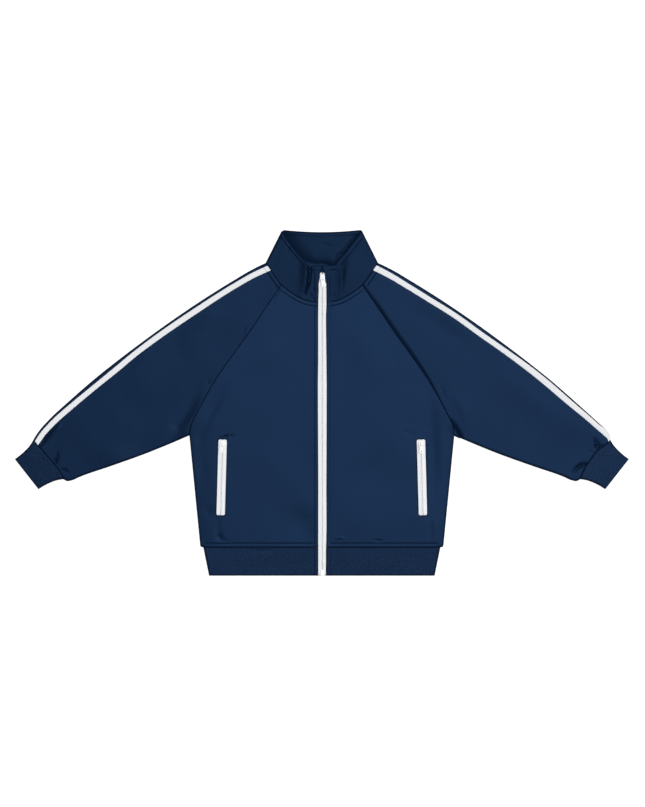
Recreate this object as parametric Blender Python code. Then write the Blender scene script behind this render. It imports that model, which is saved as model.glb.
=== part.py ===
"""A child's track jacket, zipped up and laid flat on its back on a table.

Frame: +X runs towards the wearer's left cuff, +Y from hem to collar and +Z up, off the table.
The origin is the centre of the jacket's box, on the table. Sizes are in millimetres, measured
from the zip's centre line (x) and from the waistband's lower edge (y), and `place` turns them
into metres. Sides are the wearer's: "left" pieces are at +X.

Each cloth piece is a wall swept through sections. A section runs across the piece and ends in a
fold, where the cloth turns over to the other layer, or in a cut edge at a seam. Two pieces that
meet at a seam both have a section point at every knot of that seam's line.
"""

import math
from collections import namedtuple

import bmesh
import bpy
from mathutils import Matrix, Vector

Point = namedtuple("Point", "x y")

# Lengths down the jacket and across half of it.
TOTAL_LENGTH = 551.4
WAISTBAND_HEIGHT = 45.4
WAISTBAND_HALF_BOTTOM = 180.5
WAISTBAND_HALF_TOP = 189.7
BODY_HALF_BOTTOM = 194.4
ZIP_HALF_GAP = 7.0
BACK_NECK_Y = 490.5
COLLAR_BACK_SAG = 3.9
ARMPIT = Point(212.0, 224.2)
FRONT_NECK = Point(ZIP_HALF_GAP, 437.8)
RAGLAN_NECK_FRONT = Point(64.6, 465.0)
RAGLAN_NECK_BACK = Point(60.0, 493.5)
SHOULDER_NECK = Point(90.0, 500.2)
COLLAR_CORNER = Point(64.4, 551.4)
WRIST_TOP = Point(461.3, 217.9)
WRIST_BOTTOM = Point(413.0, 154.1)

# Cloth thicknesses, and the heights of the laid-out piles of an upper and a lower layer.
CLOTH = 1.4
RIB = 2.4
COLLAR_WALL = 2.4
TAPE_WALL = 0.6
BODY_PILE = 6.1
CUFF_PILE = 6.6
BAND_PILE = 7.0
SEAM_GAP = 0.32
COLLAR_GAP = 0.42
STRIPE_GAP = 0.5
FOLD_REACH = 6.0
FOLD_TURNS = (0, 25, 55, 90)
COLUMNS_CLEAR_OF_FOLD = 1.7 * FOLD_REACH

# Seam and edge lines of the left half, as knots along each.
RAGLAN_FRONT = (
    ARMPIT, Point(209.8, 237.6), Point(198.6, 262.0), Point(184.1, 289.0), Point(170.6, 312.0),
    Point(155.6, 334.4), Point(137.2, 360.2), Point(118.3, 386.1), Point(89.8, 428.2),
    RAGLAN_NECK_FRONT,
)
RAGLAN_BACK = (
    ARMPIT, Point(209.6, 238.0), Point(186.0, 285.0), Point(150.0, 343.0), Point(108.0, 411.0),
    RAGLAN_NECK_BACK,
)
FRONT_NECKLINE = (
    FRONT_NECK, Point(15.0, 438.4), Point(24.7, 440.3), Point(36.1, 445.0), Point(51.8, 454.7),
    RAGLAN_NECK_FRONT,
)
SLEEVE_NECK_FRONT = (RAGLAN_NECK_FRONT, Point(73.5, 476.4), Point(81.6, 488.4), SHOULDER_NECK)
SLEEVE_NECK_BACK = (RAGLAN_NECK_BACK, Point(75.0, 496.2), SHOULDER_NECK)
OVERARM = (
    SHOULDER_NECK, Point(112.9, 489.0), Point(140.1, 473.0), Point(191.0, 441.2), Point(238.7, 409.0),
    Point(283.2, 377.0), Point(325.6, 345.0), Point(365.7, 313.0), Point(402.4, 281.0),
    Point(437.8, 248.2), Point(452.5, 231.5), WRIST_TOP,
)
UNDERARM = (
    ARMPIT, Point(236.1, 213.8), Point(283.4, 194.6), Point(336.9, 175.4), Point(391.8, 156.4),
    Point(402.0, 153.2), WRIST_BOTTOM,
)
CUFF_TOP = (WRIST_TOP, Point(467.0, 208.6), Point(475.6, 199.2), Point(491.1, 186.6))
CUFF_BOTTOM = (WRIST_BOTTOM, Point(424.0, 152.4), Point(435.4, 148.2), Point(453.2, 138.2))
COLLAR_EDGE = (
    FRONT_NECK, Point(7.0, 463.0), Point(5.0, 470.5), Point(4.8, 483.0), Point(2.3, 488.5),
    Point(0.3, 495.4),
)
COLLAR_TOP_LEFT = (
    Point(0.3, 495.4), Point(10.0, 495.8), Point(20.5, 497.2), Point(27.5, 504.6), Point(41.0, 520.3),
    Point(55.3, 537.6), COLLAR_CORNER,
)
COLLAR_TOP_RIGHT = (
    Point(0.3, 495.4), Point(9.0, 495.6), Point(16.0, 494.6), Point(21.5, 494.6), Point(27.6, 501.8),
    Point(39.0, 514.7), Point(51.8, 530.4), COLLAR_CORNER,
)

# The stripe: its distance in front of the overarm fold at the neck and at the wrist, the columns
# across it, and the shares of the sleeve's length at which it starts and ends.
STRIPE_START = {+1: (4.2, 1.8), -1: (3.9, 2.9)}
STRIPE_COLUMNS = (0.0, 1.7, 5.0, 9.6)
STRIPE_ENDS = (0.004, 0.996)

# Rows down a sleeve, and the share of its length in which its columns turn from the neck seam's
# knots to even steps.
SLEEVE_ROWS = (0.0, 0.03, 0.08, 0.15, 0.23, 0.32, 0.42, 0.53, 0.64, 0.75, 0.85, 0.93, 0.975, 1.0)
SLEEVE_SETTLE = 0.35
BACK_COLUMNS = (0.125, 0.875)

# Soft folds of the upper layer. Each lies on a line and dies away over `reach` on both sides.
Fold = namedtuple("Fold", "side x0 y0 x1 y1 reach height")
BODY_FOLDS = (
    Fold(+1, 191.0, 290.0, 188.0, 110.0, 10.0, -1.0),
    Fold(-1, 196.0, 300.0, 192.0, 235.0, 12.0, -0.8),
)
SLEEVE_FOLDS = (
    Fold(+1, 90.0, 440.0, 190.0, 297.0, 12.0, -1.3),
    Fold(+1, 212.0, 262.0, 226.0, 226.0, 13.0, -2.0),
    Fold(-1, 208.0, 280.0, 226.0, 228.0, 15.0, -1.8),
    Fold(-1, 420.0, 250.0, 450.0, 216.0, 8.0, -1.6),
    Fold(+1, 434.0, 214.0, 448.0, 209.0, 9.0, -1.2),
    Fold(-1, 404.0, 184.0, 424.0, 174.0, 9.0, -1.2),
)
COLLAR_FOLDS = (
    Fold(-1, 28.0, 452.0, 26.0, 497.0, 7.0, 4.5),
    Fold(+1, 31.0, 452.0, 31.5, 503.0, 7.0, 1.6),
)

# The zips. Levels are heights above the table, the same for all three.
TAPE_LEVEL = (3.6, 4.25)
TAPE_INNER_HALF = 3.2
CHAIN_HALF = 2.8
CHAIN_LEVEL = (3.0, 5.2)
CHAIN_FOOT = 0.4
CHAIN_PAST_SLIDER = 3.4
FRONT_TAPE_HALF = 15.5
FRONT_ZIP_FOOT, FRONT_ZIP_TOP = 0.4, 484.5
FRONT_SLIDER_Y = 476.0
POCKET_TAPE_HALF = 10.5
POCKET_TOP = Point(158.5, 217.8)
POCKET_BOTTOM = Point(161.8, 96.8)
POCKET_WIDTH = 13.4
POCKET_CORNER = 2.5
POCKET_SLIDER_DROP = 7.0
POCKET_WINDOW_LEVEL = (2.0, 9.0)
POCKET_TAPE_FOOT = -4.0
POCKET_TAPE_PAST_TOP = 3.0
ZIP_BOX_HALF, ZIP_BOX_TOP, ZIP_BOX_CORNER, ZIP_BOX_LEVEL = 2.9, 9.0, 1.0, (2.8, 5.8)
SLIDER_HALF = 4.0
SPINE_HALF = 1.0
PULL_THICKNESS = 1.4
PULL_AXIS_HEIGHT = 7.75
PULL_TILT = math.radians(4)
FRONT_PULL_LEAN = math.radians(8)
RIGHT_POCKET_PULL_LEAN = math.radians(-10)

# Side outlines of a slider, (y, z), with y from the pull's axis: its two plates, then the narrow
# spine that is the neck between them and the bridge on top.
SLIDER_TOP_PLATE = ((-4.9, 5.9), (-4.6, 5.5), (5.6, 5.5), (5.6, 6.0), (4.9, 6.5), (-4.2, 6.5))
SLIDER_FOOT_PLATE = ((-4.6, 2.0), (4.9, 2.0), (5.6, 2.4), (5.6, 2.7), (-4.6, 2.7))
SLIDER_SPINE = (
    (3.8, 2.4), (5.2, 2.4), (5.2, 6.2), (2.8, 6.2), (2.6, 9.4), (1.9, 10.0), (-2.6, 10.0), (-3.3, 9.4),
    (-3.6, 6.2), (-2.2, 6.2), (-2.2, 9.0), (1.4, 9.0), (1.4, 5.8), (3.8, 5.8),
)
# Half of a pull tab's plan, (half width, y) from its axis down to its rounded end, and its holes.
PULL_HALF_OUTLINE = (
    (2.3, 0.9), (2.8, 0.4), (2.8, -4.6), (2.4, -6.2), (2.9, -9.0), (3.2, -12.4), (2.5, -14.4), (1.2, -15.2),
)
PULL_EYE_HALF, PULL_EYE_TOP, PULL_EYE_FOOT = 1.8, -0.7, -4.6
PULL_HOLE_RADIUS, PULL_HOLE_Y = 1.1, -12.0

# Colours (linear RGB) and roughness of each finish.
Finish = namedtuple("Finish", "colour roughness")
FINISHES = {
    "navy_knit": Finish((0.011, 0.028, 0.073), 0.80),
    "navy_rib": Finish((0.011, 0.025, 0.062), 0.90),
    "white_tape": Finish((0.78, 0.79, 0.81), 0.75),
    "white_plastic": Finish((0.82, 0.83, 0.84), 0.40),
}


def clear_scene():
    for old in list(bpy.data.objects):
        bpy.data.objects.remove(old)


def material_for(name, finish):
    """The object's own material, in one of the finishes."""
    material = bpy.data.materials.new(name)
    material.use_nodes = True
    shader = material.node_tree.nodes["Principled BSDF"]
    shader.inputs["Base Color"].default_value = (*FINISHES[finish].colour, 1.0)
    shader.inputs["Roughness"].default_value = FINISHES[finish].roughness
    return material


def place(x, y, z):
    """Millimetres of the garment to metres of the part's frame."""
    return Vector((x, y - TOTAL_LENGTH / 2, z)) * 0.001


def add_object(name, data, finish):
    data.materials.append(material_for(name, finish))
    obj = bpy.data.objects.new(name, data)
    bpy.context.scene.collection.objects.link(obj)
    return obj


# ---------------------------------------------------------------- lines and patches

class Line:
    """A line through knots, read by the share of its length."""

    def __init__(self, points):
        self.points = [Vector(p) for p in points]
        along = [0.0]
        for a, b in zip(self.points, self.points[1:]):
            along.append(along[-1] + (b - a).length)
        self.length = along[-1]
        self.knots = [d / self.length for d in along]

    def at(self, share):
        i = 0
        while i < len(self.knots) - 2 and self.knots[i + 1] < share:
            i += 1
        span = self.knots[i + 1] - self.knots[i]
        return self.points[i].lerp(self.points[i + 1], (share - self.knots[i]) / span)

    def shifted(self, gap):
        """This line moved sideways, to its left."""
        moved = []
        last = len(self.points) - 1
        for i, point in enumerate(self.points):
            back = (point - self.points[max(i, 1) - 1]) if i else (self.points[1] - point)
            ahead = (self.points[i + 1] - point) if i < last else back
            left = (back.normalized() + ahead.normalized()).normalized()
            stretch = gap / max(left.dot(back.normalized()), 0.5)
            moved.append(point + Vector((-left.y, left.x)) * stretch)
        return Line(moved)

    def then(self, other):
        """This line up to its last knot but one, followed by all of the other line."""
        return Line(self.points[:-1] + other.points)

    def reversed(self):
        return Line(self.points[::-1])

    def mirrored(self):
        return Line([Vector((-p.x, p.y)) for p in self.points])

    def between(self, start, end):
        """This line with its end knots moved to the given points."""
        return Line([start] + self.points[1:-1] + [end])


class Patch:
    """A cloth panel's plan between four lines. Rows run from `near` to `far`."""

    def __init__(self, near, far, first, last):
        self.near, self.far = near, far
        self.first = first.between(near.points[0], far.points[0])
        self.last = last.between(near.points[-1], far.points[-1])

    def at(self, across, along):
        n, f = self.near, self.far
        rows = n.at(across) * (1 - along) + f.at(across) * along
        sides = self.first.at(along) * (1 - across) + self.last.at(along) * across
        corners = (
            (n.points[0] * (1 - across) + n.points[-1] * across) * (1 - along)
            + (f.points[0] * (1 - across) + f.points[-1] * across) * along
        )
        return rows + sides - corners

    def run(self, along):
        """Length of the row at `along`, by which distances from its ends are turned to shares."""
        return self.near.length * (1 - along) + self.far.length * along


def spread(start, end, spans):
    return [start + (end - start) * i / spans for i in range(spans + 1)]


def bulge(distance):
    """How far the cloth has risen at a distance from its fold: 0 at the fold, 1 when flat."""
    inward = min(max(distance / FOLD_REACH, 0.0), 1.0)
    return math.sqrt(1 - (1 - inward) ** 2)


def turned(wall):
    """Distances from a fold of the turn's points, as (outer face, inner face) pairs."""
    pairs = []
    for degrees in FOLD_TURNS:
        turn = 1 - math.cos(math.radians(degrees))
        pairs.append((FOLD_REACH * turn, wall + (FOLD_REACH - wall) * turn))
    return pairs


def layer_levels(distance, wall, pile, upper, gap=0.0):
    """Heights of a layer's (outer face, inner face) at a distance from its fold."""
    rise = bulge(distance)
    middle = pile / 2 + (gap / 2 if upper else -gap / 2)
    outer_flat, inner_flat = (pile, pile - wall) if upper else (0.0, wall)
    return middle + (outer_flat - middle) * rise, middle + (inner_flat - middle) * rise


def fold_height(folds, side, at):
    """The height that one side's soft folds add at a point of its half."""
    total = 0.0
    for fold in folds:
        if fold.side != side:
            continue
        start = Vector((fold.x0, fold.y0))
        run = Vector((fold.x1, fold.y1)) - start
        share = min(max((at - start).dot(run) / run.length_squared, 0.0), 1.0)
        distance = (at - start - run * share).length / fold.reach
        total += fold.height * math.exp(-distance * distance)
    return total


def columns(run, shares, start_fold, end_fold, wall):
    """Across a row: (outer share, inner share, distance from the nearer fold) of each point."""
    turn = turned(wall)
    row = [(s, s) for s in shares]
    if start_fold:
        row = [(o / run, i / run) for o, i in turn] + row
    if end_fold:
        row = row + [(1 - o / run, 1 - i / run) for o, i in turn[::-1]]
    far = 10 * FOLD_REACH
    full = []
    for o, i in row:
        from_start = o * run if start_fold else far
        from_end = (1 - o) * run if end_fold else far
        full.append((o, i, min(from_start, from_end)))
    return full


def close_wall(name, outer, inner, finish, closed_rows):
    """One solid wall from two grids of points, outer and inner, row by row."""
    mesh = bpy.data.meshes.new(name)
    form = bmesh.new()
    out, inn = [[[form.verts.new(place(*p)) for p in row] for row in grid] for grid in (outer, inner)]
    rows, count = len(out), len(out[0])
    for c in range(count if closed_rows else count - 1):
        d = (c + 1) % count
        for r in range(rows - 1):
            form.faces.new((out[r][c], out[r][d], out[r + 1][d], out[r + 1][c]))
            form.faces.new((inn[r][c], inn[r + 1][c], inn[r + 1][d], inn[r][d]))
        form.faces.new((out[0][d], out[0][c], inn[0][c], inn[0][d]))
        form.faces.new((out[-1][c], out[-1][d], inn[-1][d], inn[-1][c]))
    if not closed_rows:
        for r in range(rows - 1):
            form.faces.new((out[r][0], out[r + 1][0], inn[r + 1][0], inn[r][0]))
            form.faces.new((out[r + 1][-1], out[r][-1], inn[r][-1], inn[r + 1][-1]))
    bmesh.ops.triangulate(form, faces=form.faces)
    if form.calc_volume(signed=True) < 0:
        bmesh.ops.reverse_faces(form, faces=form.faces)
    form.to_mesh(mesh)
    form.free()
    mesh.shade_smooth()
    mesh.set_sharp_from_angle(angle=math.radians(50))
    return add_object(name, mesh, finish)


# ---------------------------------------------------------------- body panels

def body_edge(raglan):
    """The line up the side seam to the armpit, then up a raglan seam, and the armpit's share."""
    side = Line((Point(BODY_HALF_BOTTOM, WAISTBAND_HEIGHT), ARMPIT))
    edge = side.then(Line(raglan))
    return edge, edge.knots[1]


def body_rows(edge, armpit):
    """Shares of the edge line for a panel's rows: up the side, round the armpit, up the raglan."""
    close = [armpit + outer / edge.length for outer, _ in turned(CLOTH)[1:]]
    return spread(0, armpit, 4) + close + edge.knots[2:]


def body_layer(patch, rows, armpit, shares, start_fold, upper, side_sign):
    """Outer and inner grids of a body panel, whose edge is a fold up to the armpit."""
    outer, inner = [], []
    for along in rows:
        run = (patch.at(1, along) - patch.at(0, along)).length
        outer_row, inner_row = [], []
        for o, i, from_fold in columns(run, shares, start_fold, True, CLOTH):
            if along > armpit + 1e-9:
                i = o
                p = patch.at(o, along)
                from_fold = (Vector((abs(p.x), p.y)) - Vector(ARMPIT)).length
            p, q = patch.at(o, along), patch.at(i, along)
            z_out, z_in = layer_levels(from_fold, CLOTH, BODY_PILE, upper, SEAM_GAP)
            drape = fold_height(BODY_FOLDS, side_sign, p) * bulge(from_fold) if upper else 0.0
            mirror = side_sign if upper else 1
            outer_row.append((mirror * p.x, p.y, z_out + drape))
            inner_row.append((mirror * q.x, q.y, z_in + drape))
        outer.append(outer_row)
        inner.append(inner_row)
    return outer, inner


def make_front(name, side_sign):
    edge, armpit = body_edge(RAGLAN_FRONT)
    zip_edge = Line((Point(ZIP_HALF_GAP, WAISTBAND_HEIGHT), FRONT_NECK))
    hem = Line((Point(ZIP_HALF_GAP, WAISTBAND_HEIGHT), Point(BODY_HALF_BOTTOM, WAISTBAND_HEIGHT)))
    neck = Line(FRONT_NECKLINE)
    patch = Patch(hem, neck, zip_edge, edge)
    rows = body_rows(edge, armpit)
    outer, inner = body_layer(patch, rows, armpit, neck.knots[:-1], False, True, side_sign)
    panel = close_wall(name, outer, inner, "navy_knit", False)
    cut_pocket_window(panel, side_sign)


def make_back():
    edge, armpit = body_edge(RAGLAN_BACK)
    hem = Line((Point(-BODY_HALF_BOTTOM, WAISTBAND_HEIGHT), Point(BODY_HALF_BOTTOM, WAISTBAND_HEIGHT)))
    neck = Line((
        Point(-RAGLAN_NECK_BACK.x, RAGLAN_NECK_BACK.y), Point(0.0, BACK_NECK_Y), RAGLAN_NECK_BACK,
    ))
    patch = Patch(hem, neck, edge.mirrored(), edge)
    rows = body_rows(edge, armpit)
    outer, inner = body_layer(patch, rows, armpit, spread(*BACK_COLUMNS, 6), True, False, 1)
    close_wall("back", outer, inner, "navy_knit", False)


def cut_pocket_window(panel, side_sign):
    """The slot in a front panel that shows the pocket's zip."""
    half = POCKET_WIDTH / 2
    cutter = add_plan(
        panel.name + "_window_cutter", pocket_frame(side_sign),
        rounded_box(-half, half, 0.0, pocket_length(), POCKET_CORNER), POCKET_WINDOW_LEVEL, "navy_knit",
    )
    cutter.hide_render = True
    cutter.display_type = "WIRE"
    slot = panel.modifiers.new("pocket window", "BOOLEAN")
    slot.operation = "DIFFERENCE"
    slot.solver = "EXACT"
    slot.object = cutter


# ---------------------------------------------------------------- sleeves, cuffs and stripes

def tube(patches, rows, shares, wall, pile, folds, side_sign):
    """Grids of a flattened tube: over the upper layer, round its far fold, back under."""
    outer, inner = [], []
    for along in rows:
        outer_row, inner_row = [], []
        for patch, layer_shares, upper in ((patches[0], shares[0], True), (patches[1], shares[1], False)):
            run = patch.run(along)
            margin = COLUMNS_CLEAR_OF_FOLD / run
            even = spread(margin, 1 - margin, len(layer_shares) - 1)
            settle = min(along / SLEEVE_SETTLE, 1.0)
            mixed = [s + (e - s) * settle for s, e in zip(layer_shares, even)]
            row = columns(run, mixed, True, True, wall)
            for o, i, from_fold in row[:-1] if upper else row[:0:-1]:
                p, q = patch.at(o, along), patch.at(i, along)
                z_out, z_in = layer_levels(from_fold, wall, pile, upper)
                drape = fold_height(folds, side_sign, p) * bulge(from_fold) if upper else 0.0
                outer_row.append((side_sign * p.x, p.y, z_out + drape))
                inner_row.append((side_sign * q.x, q.y, z_in + drape))
        outer.append(outer_row)
        inner.append(inner_row)
    return outer, inner


def sleeve_patch(neck, raglan):
    """One layer of a sleeve, from the neck and raglan seams to the wrist, overarm to underarm."""
    top = Line(neck).reversed().then(Line(raglan).reversed().shifted(SEAM_GAP))
    wrist = Line((WRIST_TOP, WRIST_BOTTOM))
    return Patch(top, wrist, Line(OVERARM), Line(UNDERARM))


def make_sleeve(name, side_sign):
    front = sleeve_patch(SLEEVE_NECK_FRONT, RAGLAN_FRONT)
    back = sleeve_patch(SLEEVE_NECK_BACK, RAGLAN_BACK)
    shares = front.near.knots[1:-1], back.near.knots[1:-1]
    outer, inner = tube((front, back), SLEEVE_ROWS, shares, CLOTH, BODY_PILE, SLEEVE_FOLDS, side_sign)
    close_wall(name, outer, inner, "navy_knit", True)


def make_cuff(name, side_sign):
    wrist = Line((WRIST_TOP, WRIST_BOTTOM)).shifted(SEAM_GAP)
    end = Line((CUFF_TOP[-1], CUFF_BOTTOM[-1]))
    patch = Patch(wrist, end, Line(CUFF_TOP), Line(CUFF_BOTTOM))
    shares = spread(0, 1, 5)[1:-1]
    outer, inner = tube((patch, patch), spread(0, 1, 4), (shares, shares), RIB, CUFF_PILE, (), side_sign)
    close_wall(name, outer, inner, "navy_rib", True)


def make_stripe(name, side_sign):
    """A narrow woven tape sewn along the sleeve, just in front of the overarm fold."""
    patch = sleeve_patch(SLEEVE_NECK_FRONT, RAGLAN_FRONT)
    at_neck, at_wrist = STRIPE_START[side_sign]
    outer, inner = [], []
    for along in (STRIPE_ENDS[0],) + SLEEVE_ROWS[1:-1] + (STRIPE_ENDS[1],):
        start = at_neck + (at_wrist - at_neck) * along
        step = patch.first.at(min(along + 0.01, 1.0)) - patch.first.at(min(along + 0.01, 1.0) - 0.01)
        across = (patch.at(0.1, along) - patch.at(0.0, along)).normalized()
        slant = abs(step.normalized().cross(across))
        scale = (patch.at(0.1, along) - patch.at(0.0, along)).length / 0.1
        outer_row, inner_row = [], []
        for column in STRIPE_COLUMNS:
            distance = (start + column) / slant
            p = patch.at(distance / scale, along)
            level, _ = layer_levels(distance, CLOTH, BODY_PILE, True)
            level += fold_height(SLEEVE_FOLDS, side_sign, p) * bulge(distance) + STRIPE_GAP
            outer_row.append((side_sign * p.x, p.y, level + TAPE_WALL))
            inner_row.append((side_sign * p.x, p.y, level))
        outer.append(outer_row)
        inner.append(inner_row)
    close_wall(name, outer, inner, "white_tape", False)


# ---------------------------------------------------------------- waistband and collar

Layer = namedtuple("Layer", "patch shares start_fold upper mirror folds_side")


def band(name, layers, rows, wall, finish, folds):
    """A strip that runs over the right front, under the back and over the left front."""
    outer, inner = [], []
    for along in rows:
        outer_row, inner_row = [], []
        for number, layer in enumerate(layers):
            patch = layer.patch
            run = (patch.at(1, along) - patch.at(0, along)).length
            row = columns(run, layer.shares, layer.start_fold, True, wall)
            row = (row, row[1:-1], row[::-1])[number]
            for o, i, from_fold in row:
                p, q = patch.at(o, along), patch.at(i, along)
                z_out, z_in = layer_levels(from_fold, wall, BAND_PILE, layer.upper)
                drape = fold_height(folds, layer.folds_side, p) * bulge(from_fold) if layer.upper else 0.0
                outer_row.append((layer.mirror * p.x, p.y, z_out + drape))
                inner_row.append((layer.mirror * q.x, q.y, z_in + drape))
        outer.append(outer_row)
        inner.append(inner_row)
    close_wall(name, outer, inner, finish, False)


def make_waistband():
    top = WAISTBAND_HEIGHT - SEAM_GAP
    foot = Line((Point(ZIP_HALF_GAP, 0.0), Point(WAISTBAND_HALF_BOTTOM, 0.0)))
    head = Line((Point(ZIP_HALF_GAP, top), Point(WAISTBAND_HALF_TOP, top)))
    front = Patch(foot, head, Line((foot.points[0], head.points[0])), Line((foot.points[1], head.points[1])))
    foot_back = Line((-foot.points[1], foot.points[1]))
    head_back = Line((Point(-WAISTBAND_HALF_TOP, top), head.points[1]))
    back = Patch(
        foot_back, head_back, Line((foot_back.points[0], head_back.points[0])),
        Line((foot_back.points[1], head_back.points[1])),
    )
    front_shares, back_shares = spread(0, 0.8, 4), spread(0.1, 0.9, 8)
    layers = (
        Layer(front, front_shares, False, True, -1, -1),
        Layer(back, back_shares, True, False, 1, 0),
        Layer(front, front_shares, False, True, 1, 1),
    )
    band("waistband", layers, spread(0, 1, 3), RIB, "navy_rib", ())


def make_collar():
    """The standing band, laid flat: two front halves over the back of the neck."""
    fold = Line((SHOULDER_NECK, COLLAR_CORNER))
    neck = Line(FRONT_NECKLINE).then(Line(SLEEVE_NECK_FRONT)).shifted(COLLAR_GAP)
    back_half = Line((Point(0.0, BACK_NECK_Y),) + SLEEVE_NECK_BACK)
    back_neck = back_half.mirrored().reversed().then(back_half).shifted(COLLAR_GAP)
    back_top = Line((
        Point(-COLLAR_CORNER.x, COLLAR_CORNER.y), Point(0.0, COLLAR_CORNER.y - COLLAR_BACK_SAG),
        COLLAR_CORNER,
    ))
    right = Patch(neck, Line(COLLAR_TOP_RIGHT), Line(COLLAR_EDGE), fold)
    left = Patch(neck, Line(COLLAR_TOP_LEFT), Line(COLLAR_EDGE), fold)
    back = Patch(back_neck, back_top, fold.mirrored(), fold)
    shares = neck.knots[:-1]
    layers = (
        Layer(right, shares, False, True, -1, -1),
        Layer(back, back_neck.knots[1:-1], True, False, 1, 0),
        Layer(left, shares, False, True, 1, 1),
    )
    band("collar", layers, spread(0, 1, 5), COLLAR_WALL, "navy_knit", COLLAR_FOLDS)


# ---------------------------------------------------------------- zips

def pocket_length():
    return math.dist(POCKET_TOP, POCKET_BOTTOM)


def pocket_frame(side_sign):
    """A pocket zip's own frame: its lower end, with +Y up the zip."""
    lean = math.atan2(POCKET_BOTTOM.x - POCKET_TOP.x, POCKET_TOP.y - POCKET_BOTTOM.y)
    at = place(side_sign * POCKET_BOTTOM.x, POCKET_BOTTOM.y, 0.0)
    return Matrix.Translation(at) @ Matrix.Rotation(side_sign * lean, 4, "Z")


def front_zip_frame():
    return Matrix.Translation(place(0.0, 0.0, 0.0))


def rounded_box(x0, x1, y0, y1, radius):
    """Plan of a rectangle with rounded corners, anticlockwise."""
    corners = ((x1, y0, -1), (x1, y1, 0), (x0, y1, 1), (x0, y0, 2))
    points = []
    for x, y, quarter in corners:
        centre = Vector((x + (radius if x == x0 else -radius), y + (radius if y == y0 else -radius)))
        for step in range(5):
            angle = (quarter + step / 4) * math.pi / 2
            points.append(centre + Vector((math.cos(angle), math.sin(angle))) * radius)
    return points


def add_prism(name, frame, loops, finish):
    """A solid between two matching loops of points, in millimetres of the zip's own frame."""
    mesh = bpy.data.meshes.new(name)
    form = bmesh.new()
    low, high = [[form.verts.new(Vector(p) * 0.001) for p in loop] for loop in loops]
    form.faces.new(low[::-1])
    form.faces.new(high)
    for i, start in enumerate(low):
        j = (i + 1) % len(low)
        form.faces.new((start, low[j], high[j], high[i]))
    if form.calc_volume(signed=True) < 0:
        bmesh.ops.reverse_faces(form, faces=form.faces)
    form.to_mesh(mesh)
    form.free()
    obj = add_object(name, mesh, finish)
    obj.matrix_world = frame
    return obj


def add_plan(name, frame, plan, levels, finish):
    return add_prism(name, frame, [[(x, y, z) for x, y in plan] for z in levels], finish)


def add_profile(name, frame, outline, half, finish):
    return add_prism(name, frame, [[(x, y, z) for y, z in outline] for x in (-half, half)], finish)


def add_strip(name, frame, xs, ys, levels, finish):
    plan = ((xs[0], ys[0]), (xs[1], ys[0]), (xs[1], ys[1]), (xs[0], ys[1]))
    return add_plan(name, frame, plan, levels, finish)


def make_slider(name, frame, axis_y):
    """The slider round the zip's chain, with the bridge that carries the pull."""
    at_axis = frame @ Matrix.Translation(Vector((0, axis_y, 0)) * 0.001)
    slider = add_profile(name, at_axis, SLIDER_TOP_PLATE, SLIDER_HALF, "white_plastic")
    for part, outline, half in (
        ("spine", SLIDER_SPINE, SPINE_HALF), ("foot plate", SLIDER_FOOT_PLATE, SLIDER_HALF),
    ):
        shape = add_profile(f"{name} {part}", at_axis, outline, half, "white_plastic")
        shape.hide_render = True
        shape.display_type = "WIRE"
        union = slider.modifiers.new(part, "BOOLEAN")
        union.operation = "UNION"
        union.solver = "EXACT"
        union.object = shape


def make_pull(name, frame, axis_y, lean):
    """The tab on the slider's bridge, made about its axis, lying down along the zip."""
    curve = bpy.data.curves.new(name, "CURVE")
    curve.dimensions = "2D"
    curve.fill_mode = "BOTH"
    curve.extrude = PULL_THICKNESS / 2 * 0.001
    half = list(PULL_HALF_OUTLINE)
    outline = half + [(-x, y) for x, y in reversed(half)]
    eye = (
        (-PULL_EYE_HALF, PULL_EYE_TOP), (PULL_EYE_HALF, PULL_EYE_TOP),
        (PULL_EYE_HALF, PULL_EYE_FOOT), (-PULL_EYE_HALF, PULL_EYE_FOOT),
    )
    turns = [2 * math.pi * i / 10 for i in range(10)]
    radius = PULL_HOLE_RADIUS
    hole = [(radius * math.cos(a), PULL_HOLE_Y + radius * math.sin(a)) for a in turns]
    for points in (outline, eye, hole):
        spline = curve.splines.new("POLY")
        spline.points.add(len(points) - 1)
        for point, (x, y) in zip(spline.points, points):
            point.co = (x * 0.001, y * 0.001, 0.0, 1.0)
        spline.use_cyclic_u = True
    pull = add_object(name, curve, "white_plastic")
    at_axis = Matrix.Translation(Vector((0, axis_y, PULL_AXIS_HEIGHT)) * 0.001)
    rest = Matrix.Rotation(lean, 4, "Z") @ Matrix.Rotation(PULL_TILT, 4, "X")
    pull.matrix_world = frame @ at_axis @ rest


def make_zip(prefix, frame, tape_half, tape_ends, chain_foot, slider_y, lean):
    """Tapes, teeth, slider and pull of one zip, in the zip's own frame."""
    inner = TAPE_INNER_HALF
    for side, xs in (("right", (-tape_half, -inner)), ("left", (inner, tape_half))):
        add_strip(f"{prefix}_tape_{side}", frame, xs, tape_ends, TAPE_LEVEL, "white_tape")
    chain = (chain_foot, slider_y + CHAIN_PAST_SLIDER)
    add_strip(f"{prefix}_teeth", frame, (-CHAIN_HALF, CHAIN_HALF), chain, CHAIN_LEVEL, "white_plastic")
    make_slider(f"{prefix}_slider", frame, slider_y)
    make_pull(f"{prefix}_pull", frame, slider_y, lean)


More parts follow.
